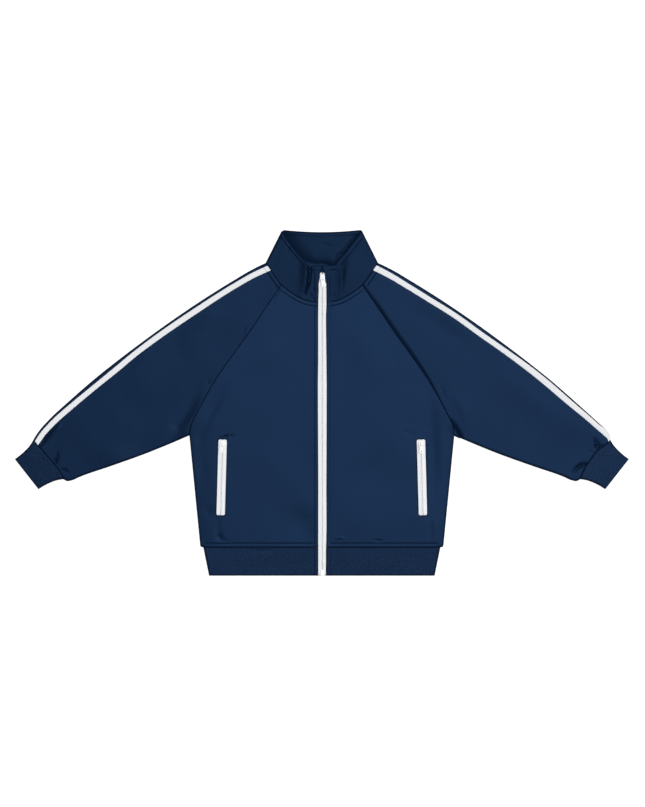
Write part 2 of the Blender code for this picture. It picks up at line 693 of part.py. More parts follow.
def make_zips():
    ends, chain_foot = (FRONT_ZIP_FOOT, FRONT_ZIP_TOP), ZIP_BOX_TOP + CHAIN_FOOT
    frame = front_zip_frame()
    make_zip("front_zip", frame, FRONT_TAPE_HALF, ends, chain_foot, FRONT_SLIDER_Y, FRONT_PULL_LEAN)
    box = rounded_box(-ZIP_BOX_HALF, ZIP_BOX_HALF, FRONT_ZIP_FOOT, ZIP_BOX_TOP, ZIP_BOX_CORNER)
    add_plan("front_zip_box", frame, box, ZIP_BOX_LEVEL, "white_plastic")
    length = pocket_length()
    ends = (POCKET_TAPE_FOOT, length + POCKET_TAPE_PAST_TOP)
    slider_y = length - POCKET_SLIDER_DROP
    for prefix, side_sign, lean in (
        ("right_pocket_zip", -1, RIGHT_POCKET_PULL_LEAN), ("left_pocket_zip", 1, 0.0),
    ):
        frame = pocket_frame(side_sign)
        make_zip(prefix, frame, POCKET_TAPE_HALF, ends, CHAIN_FOOT, slider_y, lean)


def main():
    clear_scene()
    make_back()
    for name, side_sign in (("right", -1), ("left", 1)):
        make_front("front_" + name, side_sign)
        make_sleeve("sleeve_" + name, side_sign)
        make_cuff("cuff_" + name, side_sign)
        make_stripe("stripe_" + name, side_sign)
    make_waistband()
    make_collar()
    make_zips()


main()
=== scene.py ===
"""A child's track jacket, zipped up and laid flat on its back.

The sections follow the jacket as it is sewn: back, fronts, sleeves, stripes, cuffs, waistband,
collar, zips and topstitching. Then come the floor, the lights and the camera. Sizes are in
millimetres: x from the zip's centre line, + towards the wearer's left cuff, y up from the
waistband's lower edge, and z up from the table. `metres` turns them into the frame's metres.
"""

import math
from collections import namedtuple

import bmesh
import bpy
import numpy as np
from mathutils import Matrix, Vector, noise
from mathutils.geometry import delaunay_2d_cdt


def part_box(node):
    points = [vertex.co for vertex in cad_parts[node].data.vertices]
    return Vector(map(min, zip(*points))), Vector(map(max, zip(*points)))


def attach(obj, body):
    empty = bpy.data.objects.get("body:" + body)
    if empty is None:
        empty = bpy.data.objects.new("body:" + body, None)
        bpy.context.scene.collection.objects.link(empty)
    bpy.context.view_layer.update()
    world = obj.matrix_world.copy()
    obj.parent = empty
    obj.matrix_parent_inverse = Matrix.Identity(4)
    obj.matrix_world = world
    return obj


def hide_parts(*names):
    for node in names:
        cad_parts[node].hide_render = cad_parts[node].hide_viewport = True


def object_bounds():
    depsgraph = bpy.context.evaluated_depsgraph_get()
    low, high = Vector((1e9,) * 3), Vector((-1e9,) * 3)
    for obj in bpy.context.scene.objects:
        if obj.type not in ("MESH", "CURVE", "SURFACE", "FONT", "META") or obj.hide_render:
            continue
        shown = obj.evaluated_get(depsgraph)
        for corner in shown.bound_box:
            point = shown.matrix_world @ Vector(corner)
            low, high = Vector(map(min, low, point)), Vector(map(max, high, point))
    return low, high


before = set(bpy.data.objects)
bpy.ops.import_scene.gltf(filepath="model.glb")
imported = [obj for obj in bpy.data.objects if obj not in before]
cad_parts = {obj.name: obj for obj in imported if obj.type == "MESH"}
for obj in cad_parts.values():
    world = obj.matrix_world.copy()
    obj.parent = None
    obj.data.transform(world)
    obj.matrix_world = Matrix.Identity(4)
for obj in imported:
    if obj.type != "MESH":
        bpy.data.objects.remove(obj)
cad_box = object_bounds()


# ---------------------------------------------------------------- back
# The back is one cut of smooth polyester knit. It lies face down under the fronts, flat on the
# table, and turns up at the side seams, where it is overlocked to them.

MM = 0.001
# The wearer's left is at +x.
SIDES = ((1, "left"), (-1, "right"))
HALF_LENGTH = 500 * (cad_box[1].y - cad_box[0].y)
BODY_PILE = 1000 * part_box("front_left")[1].z
CLOTH_WALL = 1.4
FOLD_REACH = 4.0
SEAM_GAP = 0.04
HEM_Y = 45.4
BODY_FOOT = (191.2, HEM_Y)
BODY_CORNER = (194.7, 49.0)
ARMPIT = (212.0, 224.2)
RAGLAN_NECK_BACK = (60.0, 493.5)
BACK_NECK = (0.0, 490.5)
RAGLAN_BACK = (ARMPIT, (209.6, 238), (186, 285), (150, 343), (108, 411), RAGLAN_NECK_BACK)
# Distances from a sewn edge at which its cloth has points: close at the roll and at the stitching.
EDGE_RINGS = (0.25, 0.6, 1.1, 1.8, 2.8, 4.0, 5.2, 6.2, 6.7, 7.0, 7.3, 7.9, 9.0, 10.6)
HIDDEN_RINGS = (0.3, 1.2, 3.0, 6.0)
NET_SPACING, HIDDEN_SPACING = 2.4, 5.0


def metres(points):
    """Points of the garment, in millimetres, as the frame has them."""
    return (np.asarray(points, float) - (0.0, HALF_LENGTH, 0.0)) * MM


# The closed zip runs a little to the wearer's left of the middle, and the cloth's edges beside it
# wander: at some heights, how far the edge on its right and the one on its left have moved. From
# DRIFT_END_X on, the cloth stays where it is.
ZIP_EDGE_X = 7.0
DRIFT_END_X = 11.6
COIL_DRIFT = 1.0
ZIP_DRIFT = (
    (0, 1.3, -0.5), (40, 1.3, -0.3), (75, 1.3, 0.5), (150, 1.4, 0.3),
    (230, 1, 0.6), (305, 0.7, 0.8), (345, 1.2, 0.3), (415, 1.2, -0.3),
    (440, 1.5, 0.5), (462, 1.8, 0.5), (471, 0.9, 0.9), (482, 0.9, 0.9),
    (496, 0, 0),
)


def at_rows(table, places):
    """The later columns of a table at some places, which are given in its first column's terms."""
    first, *others = np.array(table).T
    return [np.interp(places, first, column) for column in others]


def drifted(points):
    """Points of the garment's plan, moved over beside the zip as its edges are."""
    right, left = at_rows(ZIP_DRIFT, points[:, 1])
    share = np.clip((points[:, 0] + ZIP_EDGE_X) / (2 * ZIP_EDGE_X), 0, 1)
    fade = np.clip((DRIFT_END_X - np.abs(points[:, 0])) / (DRIFT_END_X - ZIP_EDGE_X), 0, 1)
    return points + np.outer(fade * (right * (1 - share) + left * share), (1, 0))


def distances_along(line):
    """How far along a line each of its points is."""
    return np.concatenate(([0.0], np.cumsum(np.hypot(*np.diff(line, axis=0).T))))


def smooth(knots, step=1.4):
    """A smooth line through every knot, as points about a step apart."""
    knots = np.array(knots, float)
    along = distances_along(knots)
    order = 2 if len(knots) > 2 else 1
    slope = np.gradient(knots, along, axis=0, edge_order=order)
    points = [knots[:1]]
    for i in range(len(knots) - 1):
        span = along[i + 1] - along[i]
        count = max(int(round(span / step)), 1)
        t = (np.arange(1, count + 1) / count)[:, None]
        rise = t * t * (3 - 2 * t)
        bend = span * (slope[i] * t * (1 - t) ** 2 - slope[i + 1] * t * t * (1 - t))
        points.append(knots[i] * (1 - rise) + knots[i + 1] * rise + bend)
    return np.concatenate(points)


def leftward(steps):
    """The direction to the left of each step."""
    return np.stack((-steps[:, 1], steps[:, 0]), axis=1) / np.hypot(*steps.T)[:, None]


def shifted(line, gap):
    """A line moved to its left by a gap."""
    return line + leftward(np.gradient(line, axis=0)) * np.reshape(gap, (-1, 1))


def joined(*lines):
    """Lines that follow each other round a plan, as one closed loop of points."""
    return np.concatenate([line[:-1] for line in lines])


def beside(points, line, block_size=4000):
    """Each point's distance from a line, + on its left, and how far along the line it is, 0 to 1."""
    line = line[np.concatenate(([True], np.diff(line, axis=0).any(axis=1)))]
    runs = np.diff(line, axis=0)
    size = (line ** 2).sum(axis=1)
    blocks = np.array_split(points, len(points) // block_size + 1)
    closest = np.concatenate([(size - 2 * block @ line.T).argmin(axis=1) for block in blocks])
    offs, shares = [], []
    for i in (closest.clip(max=len(runs) - 1), (closest - 1).clip(0)):
        run = runs[i]
        t = (((points - line[i]) * run).sum(axis=1) / (run ** 2).sum(axis=1)).clip(0, 1)
        away = points - line[i] - t[:, None] * run
        side = np.where(run[:, 0] * away[:, 1] < run[:, 1] * away[:, 0], -1, 1)
        offs.append(side * np.hypot(away[:, 0], away[:, 1]))
        shares.append((i + t) / len(runs))
    first = np.abs(offs[0]) <= np.abs(offs[1])
    return np.where(first, offs[0], offs[1]), np.where(first, shares[0], shares[1])


def from_line(points, line):
    """Each point's distance from a line."""
    return np.abs(beside(points, line)[0])


def rounded(distance, reach):
    """How far cloth has risen beside its fold: 0 at the fold, and 1 from `reach` on."""
    inward = np.clip(distance / reach, 0, 1)
    return np.sqrt(1 - (1 - inward) ** 2)


def net(low, high, spacing):
    """Points of an even triangular net over a box."""
    x = np.arange(low[0], high[0], spacing)
    y = np.arange(low[1], high[1], spacing * math.sqrt(0.75))
    across, up = np.meshgrid(x, y)
    across[1::2] += spacing / 2
    return np.stack((across.ravel(), up.ravel()), axis=1)


# From THINNED_FROM on, a ring keeps every second point. Its points stay RING_CLEARANCE of its own
# distance away from every loop, and points closer than MERGE_WITHIN are one.
THINNED_FROM = 2
RING_CLEARANCE = 0.97
MERGE_WITHIN = 1e-5


def fill_plan(loops, rings, spacing, fine=None, filling=None):
    """Points and triangles over a plan, whose first loop is its outside and the others its holes.

    Rings of points follow each loop, and between them lies an even net, or the given filling. The
    net is twice as close where `fine` says so.
    """
    turned = []
    for number, loop in enumerate(loops):
        after = np.roll(loop, -1, axis=0)
        area = (loop[:, 0] * after[:, 1] - loop[:, 1] * after[:, 0]).sum()
        turned.append(loop if (area > 0) == (number == 0) else loop[::-1])

    def clearance(points):
        closed = (np.concatenate((loop, loop[:1])) for loop in turned)
        return np.min([from_line(points, loop) for loop in closed], axis=0)

    inner = []
    for loop in turned:
        inward = leftward(np.roll(loop, -1, axis=0) - np.roll(loop, 1, axis=0))
        for reach in rings:
            every = 1 if reach < THINNED_FROM else 2
            moved = (loop + inward * reach)[::every]
            inner.append(moved[clearance(moved) > reach * RING_CLEARANCE])
    if filling is None:
        low, high = turned[0].min(axis=0), turned[0].max(axis=0)
        filling = net(low, high, spacing)
        if fine is not None:
            close = net(low, high, spacing / 2)
            filling = np.concatenate((filling[~fine(filling)], close[fine(close)]))
    inner.append(filling[clearance(filling) > rings[-1] + spacing / 2])

    points = np.concatenate(turned + inner)
    edges, start = [], 0
    for loop in turned:
        edges += [(start + i, start + (i + 1) % len(loop)) for i in range(len(loop))]
        start += len(loop)
    outside = list(range(len(turned[0])))
    filled = delaunay_2d_cdt([Vector(p) for p in points], edges, [outside], 1, MERGE_WITHIN)
    in_hole = np.array([any(len(outside) <= i < start for i in group) for group in filled[3]])
    corners = np.array([tuple(p) for p in filled[0]])
    triangles = np.array(filled[2])
    return corners, triangles[~in_hole[triangles].all(axis=1)]


def cut_area(layers):
    """The flat area of a piece's cut, in square metres, from the plan of its layers."""
    total = 0.0
    for points, _, triangles, _ in layers:
        a, b, c = points[triangles].transpose(1, 0, 2)
        u, v = b - a, c - a
        total += np.abs(u[:, 0] * v[:, 1] - u[:, 1] * v[:, 0]).sum() / 2
    return total * 1e-6


def placed(name, data):
    """A new object of some data, in the scene."""
    piece = bpy.data.objects.new(name, data)
    bpy.context.scene.collection.objects.link(piece)
    return piece


def belongs(piece, node, body="jacket"):
    """Hides the solid that a piece stands for, and puts the piece on the body it rides on."""
    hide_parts(node)
    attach(piece, body)


def cloth(
    name, node, layers, wall, material, grain=0.0, moved=drifted,
    place=None,
):
    """A piece of cloth from layers, each (plan points, heights, triangles, whether it faces up).

    Layers that share an edge are joined there. The piece stands for a node. `grain` is the angle of
    the knit's wales from +Y, and the map of that name lies along them, in metres. `moved` takes the
    plan where it lies, and `place` the piece.
    """
    form = bmesh.new()
    for points, heights, triangles, faces_up in layers:
        corners = [form.verts.new(co) for co in metres(np.column_stack((moved(points), heights)))]
        for triangle in triangles if faces_up else triangles[:, ::-1]:
            form.faces.new([corners[i] for i in triangle])
    bmesh.ops.remove_doubles(form, verts=form.verts, dist=2e-6)
    mesh = bpy.data.meshes.new(name)
    form.to_mesh(mesh)
    form.free()
    mesh.shade_smooth()
    places = np.zeros(len(mesh.vertices) * 3, np.float32)
    mesh.vertices.foreach_get("co", places)
    of_corner = np.zeros(len(mesh.loops), np.int32)
    mesh.loops.foreach_get("vertex_index", of_corner)
    x, y, _ = places.reshape(-1, 3)[of_corner].T
    cos, sin = math.cos(grain), math.sin(grain)
    turned = np.stack((x * cos + y * sin, y * cos - x * sin), axis=1)
    mesh.uv_layers.new(name="grain").uv.foreach_set("vector", turned.ravel().astype(np.float32))
    mesh.materials.append(material)
    if place:
        mesh.transform(place)
    piece = placed(name, mesh)
    thicken = piece.modifiers.new("cloth's thickness", "SOLIDIFY")
    thicken.thickness = wall * MM
    thicken.offset = -1.0
    belongs(piece, node)
    cut_area(layers)


def add_node(tree, kind, inputs=None, **settings):
    """A node of a tree. Each input is a value or another node's output."""
    node = tree.nodes.new(kind)
    for name, value in settings.items():
        setattr(node, name, value)
    for name, value in (inputs or {}).items():
        if isinstance(value, bpy.types.NodeSocket):
            tree.links.new(value, node.inputs[name])
        else:
            node.inputs[name].default_value = value
    return node


def made(tree, kind, inputs=None, **settings):
    """What a new node puts out first."""
    return add_node(tree, kind, inputs, **settings).outputs[0]


def maths(tree, operation, *values):
    """What a node of arithmetic makes of values or of other nodes' outputs."""
    return made(tree, "ShaderNodeMath", dict(enumerate(values)), operation=operation)


def new_group(name, kind, inputs, outputs):
    """A node group, and its input and output sockets. Each is given as its kind or as its value."""
    tree = bpy.data.node_groups.new(name, kind)
    for in_out, sockets in (("INPUT", inputs), ("OUTPUT", outputs)):
        for label, value in sockets.items():
            of_kind = value if isinstance(value, str) else type(value).__name__.capitalize()
            socket = tree.interface.new_socket(label, in_out=in_out, socket_type="NodeSocket" + of_kind)
            if value != of_kind:
                socket.default_value = value
    return tree, add_node(tree, "NodeGroupInput").outputs, add_node(tree, "NodeGroupOutput").inputs


KNIT_WALE = 0.0008
LOOP_SLANT, LOOP_HEIGHT = -0.9, 0.3
CLOUD_SCALE = 14.0
# How much the tone darkens where the loops' relief is low: painted shade in their hollows.
LOOP_PAINTED_SHADE = 0.06


def noise_of(tree, place, scale, detail=2.0):
    """Soft noise from 0 to 1 at a place."""
    inputs = {"Vector": place, "Scale": scale, "Detail": detail}
    return add_node(tree, "ShaderNodeTexNoise", inputs).outputs["Fac"]


def knitted_surface():
    """Rows of knitted loops from a place on the cloth: their relief, and a mottled tone with painted shade
    in their hollows.
    """
    tree, given, out = new_group(
        "knitted surface", "ShaderNodeTree",
        {"Place": "Vector", "Wale": KNIT_WALE, "Cloudiness": 0.08, "Contrast": 0.9, "Grain": 600.0},
        {"Tone": "Float", "Relief": "Float"},
    )
    place = add_node(tree, "ShaderNodeSeparateXYZ", {0: given["Place"]}).outputs
    across = maths(tree, "DIVIDE", place["X"], given["Wale"])
    arm = maths(tree, "PINGPONG", across, 0.5)
    along = maths(tree, "DIVIDE", place["Y"], given["Wale"])
    slanted = maths(tree, "MULTIPLY_ADD", arm, LOOP_SLANT, along)
    loop = maths(tree, "SINE", maths(tree, "MULTIPLY", slanted, 2 * math.pi))
    rib = maths(tree, "SINE", maths(tree, "MULTIPLY", arm, 2 * math.pi))
    relief = maths(tree, "MULTIPLY_ADD", loop, LOOP_HEIGHT, rib)
    fibre = noise_of(tree, given["Place"], given["Grain"])
    cloud = noise_of(tree, given["Place"], CLOUD_SCALE)
    grey = maths(tree, "SUBTRACT", cloud, 0.5)
    mottle = maths(tree, "MULTIPLY", maths(tree, "SUBTRACT", fibre, 0.5), 0.5)
    # Painted shade: the tone follows the loops' relief, with random mottling on top.
    shade = maths(tree, "MULTIPLY_ADD", relief, LOOP_PAINTED_SHADE, mottle)
    shade = maths(tree, "MULTIPLY", shade, given["Contrast"])
    tone = maths(tree, "MULTIPLY_ADD", grey, given["Cloudiness"], shade)
    tree.links.new(maths(tree, "ADD", tone, 1.0), out["Tone"])
    tree.links.new(maths(tree, "ADD", relief, mottle), out["Relief"])
    return tree


KNITTED_SURFACE = knitted_surface()
NAVY = (0.0026, 0.0084, 0.0242)
NAVY_LUSTRE = (0.17, 0.42, 1.0, 1.0)
KNIT_DEPTH = 0.00003


def new_material(name, values):
    """A material with these values on its shader, and with it its tree and its shader's inputs."""
    material = bpy.data.materials.new(name)
    material.use_nodes = True
    shader = material.node_tree.nodes["Principled BSDF"].inputs
    for label, value in values.items():
        shader[label].default_value = value
    return material, material.node_tree, shader


def along_grain(tree, group, values=None):
    """The tone and the relief that a group makes along a piece's grain."""
    inputs = {"Place": made(tree, "ShaderNodeUVMap", uv_map="grain"), **(values or {})}
    surface = add_node(tree, "ShaderNodeGroup", inputs, node_tree=group).outputs
    return surface["Tone"], surface["Relief"]


def textured(tree, shader, colour, surface, depth, strength=0.5):
    """Gives a material its colour, varied by a surface's tone, and the surface's relief."""
    tone, relief = surface
    tinted = made(tree, "ShaderNodeVectorMath", {0: (*colour,), 1: tone}, operation="MULTIPLY")
    tree.links.new(tinted, shader["Base Color"])
    raised = made(tree, "ShaderNodeBump", {"Height": relief, "Distance": depth, "Strength": strength})
    tree.links.new(raised, shader["Normal"])


def knit_material(
    name, colour, wale=KNIT_WALE, depth=KNIT_DEPTH, lustre=0.21, contrast=2.0, grain=420.0,
):
    """Dyed polyester yarn. Its filaments shine along the rows, across the wales, and not along them."""
    material, tree, shader = new_material(name, {
        "Anisotropic": 0.4, "Roughness": 0.43, "Specular IOR Level": lustre,
        "Specular Tint": NAVY_LUSTRE,
    })
    values = {"Wale": wale, "Contrast": contrast, "Grain": grain}
    textured(tree, shader, colour, along_grain(tree, KNITTED_SURFACE, values), depth)
    across = made(tree, "ShaderNodeTangent", direction_type="UV_MAP", uv_map="grain")
    tree.links.new(across, shader["Tangent"])
    return material


navy_knit = knit_material("navy knit", NAVY)
MIRROR = np.array((-1.0, 1.0))
side_corner = smooth((BODY_FOOT, (193.6, 46.4), BODY_CORNER), 0.7)
side_seam = np.concatenate((side_corner[:-1], smooth((BODY_CORNER, ARMPIT))))
raglan_back = smooth(RAGLAN_BACK)
back_neck_half = smooth((BACK_NECK, (30.0, 490.9), RAGLAN_NECK_BACK))
back_hem = smooth((np.array(BODY_FOOT) * MIRROR, BODY_FOOT), 2.8)
back_loop = joined(
    back_hem, side_seam, raglan_back, back_neck_half[::-1], back_neck_half * MIRROR,
    (raglan_back * MIRROR)[::-1], (side_seam * MIRROR)[::-1],
)
back_points, back_triangles = fill_plan([back_loop], HIDDEN_RINGS, HIDDEN_SPACING)


def from_both(points, line):
    """Each point's distance from a line or from its mirror image, whichever is closer."""
    return np.minimum(from_line(points, line), from_line(points, line * MIRROR))


turned_up = 1 - rounded(from_both(back_points, side_seam), FOLD_REACH)
back_heights = (BODY_PILE / 2 - SEAM_GAP / 2) * turned_up
back_layers = [(back_points, back_heights, back_triangles, False)]
cloth("back_panel", "back", back_layers, CLOTH_WALL, navy_knit)


# ---------------------------------------------------------------- fronts
# Each front is one cut of the same knit, with its edge turned under beside the zip, a slot for the
# pocket's zip, and a shallow crease wherever the layers under it end. The hem is topstitched.

FRONT_NECK = (ZIP_EDGE_X, 437.8)
RAGLAN_NECK_FRONT = (64.6, 465)
SHOULDER_NECK = (90, 500.2)
RAGLAN_FRONT = (
    ARMPIT, (209.8, 237.6), (198.6, 262), (184.1, 289), (170.6, 312), (155.6, 334.4),
    (137.2, 360.2), (118.3, 386.1), (89.8, 428.2), RAGLAN_NECK_FRONT,
)
NECK_SEAM = (
    FRONT_NECK, (15, 438.4), (24.7, 440.3), (36.1, 445), (51.8, 454.7), RAGLAN_NECK_FRONT,
    (73.5, 476.4), (81.6, 488.4), SHOULDER_NECK,
)
TOPSTITCH = 7.0
FACING = {1: 6.0, -1: 4.9}
POCKET_TOP = (158.5, 217.8)
POCKET_FOOT = (161.8, 96.8)
POCKET_WIDTH = 13.4
POCKET_CORNER = 2.5
POCKET_LENGTH = math.dist(POCKET_TOP, POCKET_FOOT)
POCKET_STITCH = 1.9
SIDE_SINK = 2.0
SIDE_SLOPE = {1: 26.0, -1: 46.0}
RAGLAN_DROP = {1: 1.1, -1: 0.7}
CREASE_GAIN = 1.5
SWELL_SIZE, FRONT_SWELL = 60.0, 0.5

# A crease runs from (x0, y0) to (x1, y1) and bows to its left. It is a trough, or a ridge where
# its heights are above 0, and it fades out over a width on its left and another on its right.
Crease = namedtuple("Crease", "x0 y0 x1 y1 bow left right start middle end")
FRONT_CREASES = [Crease(*row) for row in (
    (-164, 220, -141.5, 223.8, 0.8, 1.6, 2.2, -0.2, -1, -0.2),
    (-158, 219, -146, 219.6, 0, 1.3, 1.3, 0, -0.5, 0),
    (122.8, 233, 147.4, 225, 0, 3.6, 3.6, 0, -0.16, -0.1),
    (-166, 94, -164, 62, -1, 5, 6, -0.1, -0.35, -0.5),
    (-164, 62, -146, 56.5, -3.5, 4, 4, -0.5, -0.35, -0.1),
    (172.4, 94, 174.6, 54.6, 1, 4.4, 5, -0.2, -0.5, -0.4),
    (-50, 112, -22, 60, 4, 16, 19, 0, -0.65, -0.45),
    (-182, 114, -180, 88, 0, 7, 7, 0, -0.4, 0),
    (19, 57.5, 38, 58.5, 3, 1.6, 1.6, 0, 0.5, 0),
    (82, 55, 99, 55.5, 0.5, 1.4, 1.2, 0, -0.8, 0),
    (-148, 312, -196, 218, -3, 7, 7, 0, -0.7, -0.4),
    (172, 290, 178, 100, 2, 12, 12, -0.3, -1.4, -0.5),
    (-68.4, 456, -80.5, 430, -1, 1.5, 1.5, -0.3, -0.4, 0),
    (-192, 215, -184, 128, -3, 9, 12, 0, -0.5, 0),
    (-120, 400, -60, 300, 8, 26, 30, 0, 0.6, 0),
    (40, 420, 120, 300, -8, 28, 26, 0, 0.6, 0),
    (60, 120, 120, 210, 10, 22, 26, 0, -0.5, 0),
    (-130, 150, -60, 240, -12, 24, 24, 0, 0.5, 0),
)]


def crease_line(crease):
    """The line that a crease runs along."""
    start, end = np.array((crease.x0, crease.y0)), np.array((crease.x1, crease.y1))
    run = end - start
    left = np.array((-run[1], run[0])) / np.hypot(*run)
    middle = (start + end) / 2 + left * crease.bow
    return smooth((start, middle, end), step=np.hypot(*run) / 8)


def around(points, line, reach):
    """Says of points whether they lie in a line's box, grown by a reach."""
    return ((points > line.min(axis=0) - reach) & (points < line.max(axis=0) + reach)).all(axis=1)


def creased(points, creases):
    """What the creases add to the height of each point."""
    total = np.zeros(len(points))
    for crease in creases:
        line = crease_line(crease)
        near = around(points, line, 3 * max(crease.left, crease.right))
        if not near.any():
            continue
        off, share = beside(points[near], line)
        width = np.where(off > 0, crease.left, crease.right)
        height = np.interp(share, (0, 0.5, 1), (crease.start, crease.middle, crease.end))
        total[near] += height * np.exp(-((off / width) ** 2))
    return total


def narrow(creases, widest=5.0):
    """Says of points whether they lie by a crease that is too narrow for a wide net."""
    lines = [
        (crease_line(crease), 2.2 * max(crease.left, crease.right))
        for crease in creases if min(crease.left, crease.right) < widest
    ]

    def close(points):
        found = np.zeros(len(points), bool)
        for line, reach in lines:
            box = around(points, line, reach)
            found[box] |= from_line(points[box], line) < reach
        return found

    return close


def unevenness(points, size, seed):
    """The slow rise and fall of cloth smoothed out by hand, from about -1 to 1."""
    return np.array([noise.noise((x / size, y / size, seed)) for x, y in points])


def sewn(distance, drop, stitched=None, pad=0.0, roll=0.8, dent=0.2, dent_width=0.45):
    """What a sewn edge adds to the height of the cloth at a distance from it.

    The cloth rolls down into the seam. Up to a row of stitching, the turned-under edge pads it out,
    and the stitches pull it down.
    """
    change = -drop * (1 - rounded(distance, roll))
    if stitched:
        across = 2 * np.clip(distance / stitched, 0, 1) - 1
        pulled = dent * np.exp(-(((distance - stitched) / dent_width) ** 2))
        change = change + pad * (1 - across ** 6) - pulled
    return change


def sunk(distance, drop, reach):
    """A slope down to an edge, ever steeper over the last stretch of cloth before it."""
    return -drop * (1 - np.clip(distance / reach, 0, 1)) ** 2


def pocket_matrix(side):
    """A pocket zip's own frame: its lower end, with +Y up the zip, in millimetres of the garment."""
    lean = side * math.atan2(POCKET_FOOT[0] - POCKET_TOP[0], POCKET_TOP[1] - POCKET_FOOT[1])
    foot = Matrix.Translation((side * POCKET_FOOT[0], POCKET_FOOT[1], 0.0))
    return foot @ Matrix.Rotation(lean, 4, "Z")


def rounded_box(half, foot, top, corner, step=0.9):
    """Plan of an upright box with round corners, as a closed loop."""
    points = []
    for quarter, (x, y) in enumerate(((half, top), (-half, top), (-half, foot), (half, foot))):
        centre = (x - math.copysign(corner, x), y + (corner if y == foot else -corner))
        for turn in np.linspace(0, 1, 7):
            angle = (quarter + turn) * math.pi / 2
            points.append((centre[0] + corner * math.cos(angle), centre[1] + corner * math.sin(angle)))
    points.append(points[0])
    line = [np.array(points[:1])]
    for start, end in zip(np.array(points), np.array(points[1:])):
        count = max(int(np.hypot(*(end - start)) / step), 1)
        line.append(start + (end - start) * (np.arange(1, count + 1) / count)[:, None])
    return np.concatenate(line)[:-1]


def pocket_slot(side, margin=0.0):
    """Plan of the slot in a front for its pocket's zip, or of a line round it at a margin."""
    half, corner = POCKET_WIDTH / 2 + margin, POCKET_CORNER + margin
    loop = rounded_box(half, -margin, POCKET_LENGTH + margin, corner)
    return np.array([(pocket_matrix(side) @ Vector((x, y, 0.0))).xy for x, y in loop])


raglan_front = smooth(RAGLAN_FRONT)
neck_seam = smooth(NECK_SEAM)
at_raglan = np.abs(neck_seam - RAGLAN_NECK_FRONT).sum(axis=1).argmin()
front_neck, sleeve_neck = neck_seam[:at_raglan + 1], neck_seam[at_raglan:]
front_hem = smooth(((ZIP_EDGE_X, HEM_Y), BODY_FOOT))
front_zip_edge = smooth((FRONT_NECK, (ZIP_EDGE_X, HEM_Y)))


def front_height(points, side):
    """The height of a front's outer face at plan points."""
    slot = pocket_slot(side)
    own = points * (side, 1)
    height = BODY_PILE + CREASE_GAIN * creased(points, FRONT_CREASES)
    height += FRONT_SWELL * unevenness(points, SWELL_SIZE, side)
    height += sunk(from_line(own, side_seam), SIDE_SINK, SIDE_SLOPE[side])
    height += sewn(from_line(own, front_hem), 0.9, TOPSTITCH, 0.7)
    height += sewn(from_line(own, front_neck), 0.9, TOPSTITCH, 0.6)
    height += sewn(from_line(own, front_zip_edge), 1.0, FACING[side], 0.45)
    height += sewn(from_line(own, raglan_front), RAGLAN_DROP[side])
    closed_slot = np.concatenate((slot, slot[:1]))
    height += sewn(from_line(points, closed_slot), 1.1, POCKET_STITCH, 0.2, roll=1.1)
    middle = BODY_PILE / 2 + SEAM_GAP / 2
    return middle + (height - middle) * rounded(from_line(own, side_seam), FOLD_REACH)


for side, name in SIDES:
    front_loop = joined(front_hem, side_seam, raglan_front, front_neck[::-1], front_zip_edge) * (side, 1)
    loops = [front_loop, pocket_slot(side)]
    points, triangles = fill_plan(loops, EDGE_RINGS, NET_SPACING, fine=narrow(FRONT_CREASES))
    layers = [(points, front_height(points, side), triangles, True)]
    cloth(
        f"front_panel_{name}", f"front_{name}", layers, CLOTH_WALL, navy_knit,
    )


# ---------------------------------------------------------------- sleeves
# A raglan sleeve is one cut, folded along the top of the arm and sewn under it, so it lies as a
# flat tube. Its cloth sinks beside the raglan seam and bunches at the armpit and at the cuff.

CUFF_OUTER = (461.3, 217.9)
CUFF_INNER = (413.0, 154.1)
OVERARM = (
    SHOULDER_NECK, (112.9, 489), (140.1, 473), (191, 441.2), (238.7, 409), (283.2, 377), (325.6, 345),
    (365.7, 313), (402.4, 281),
)
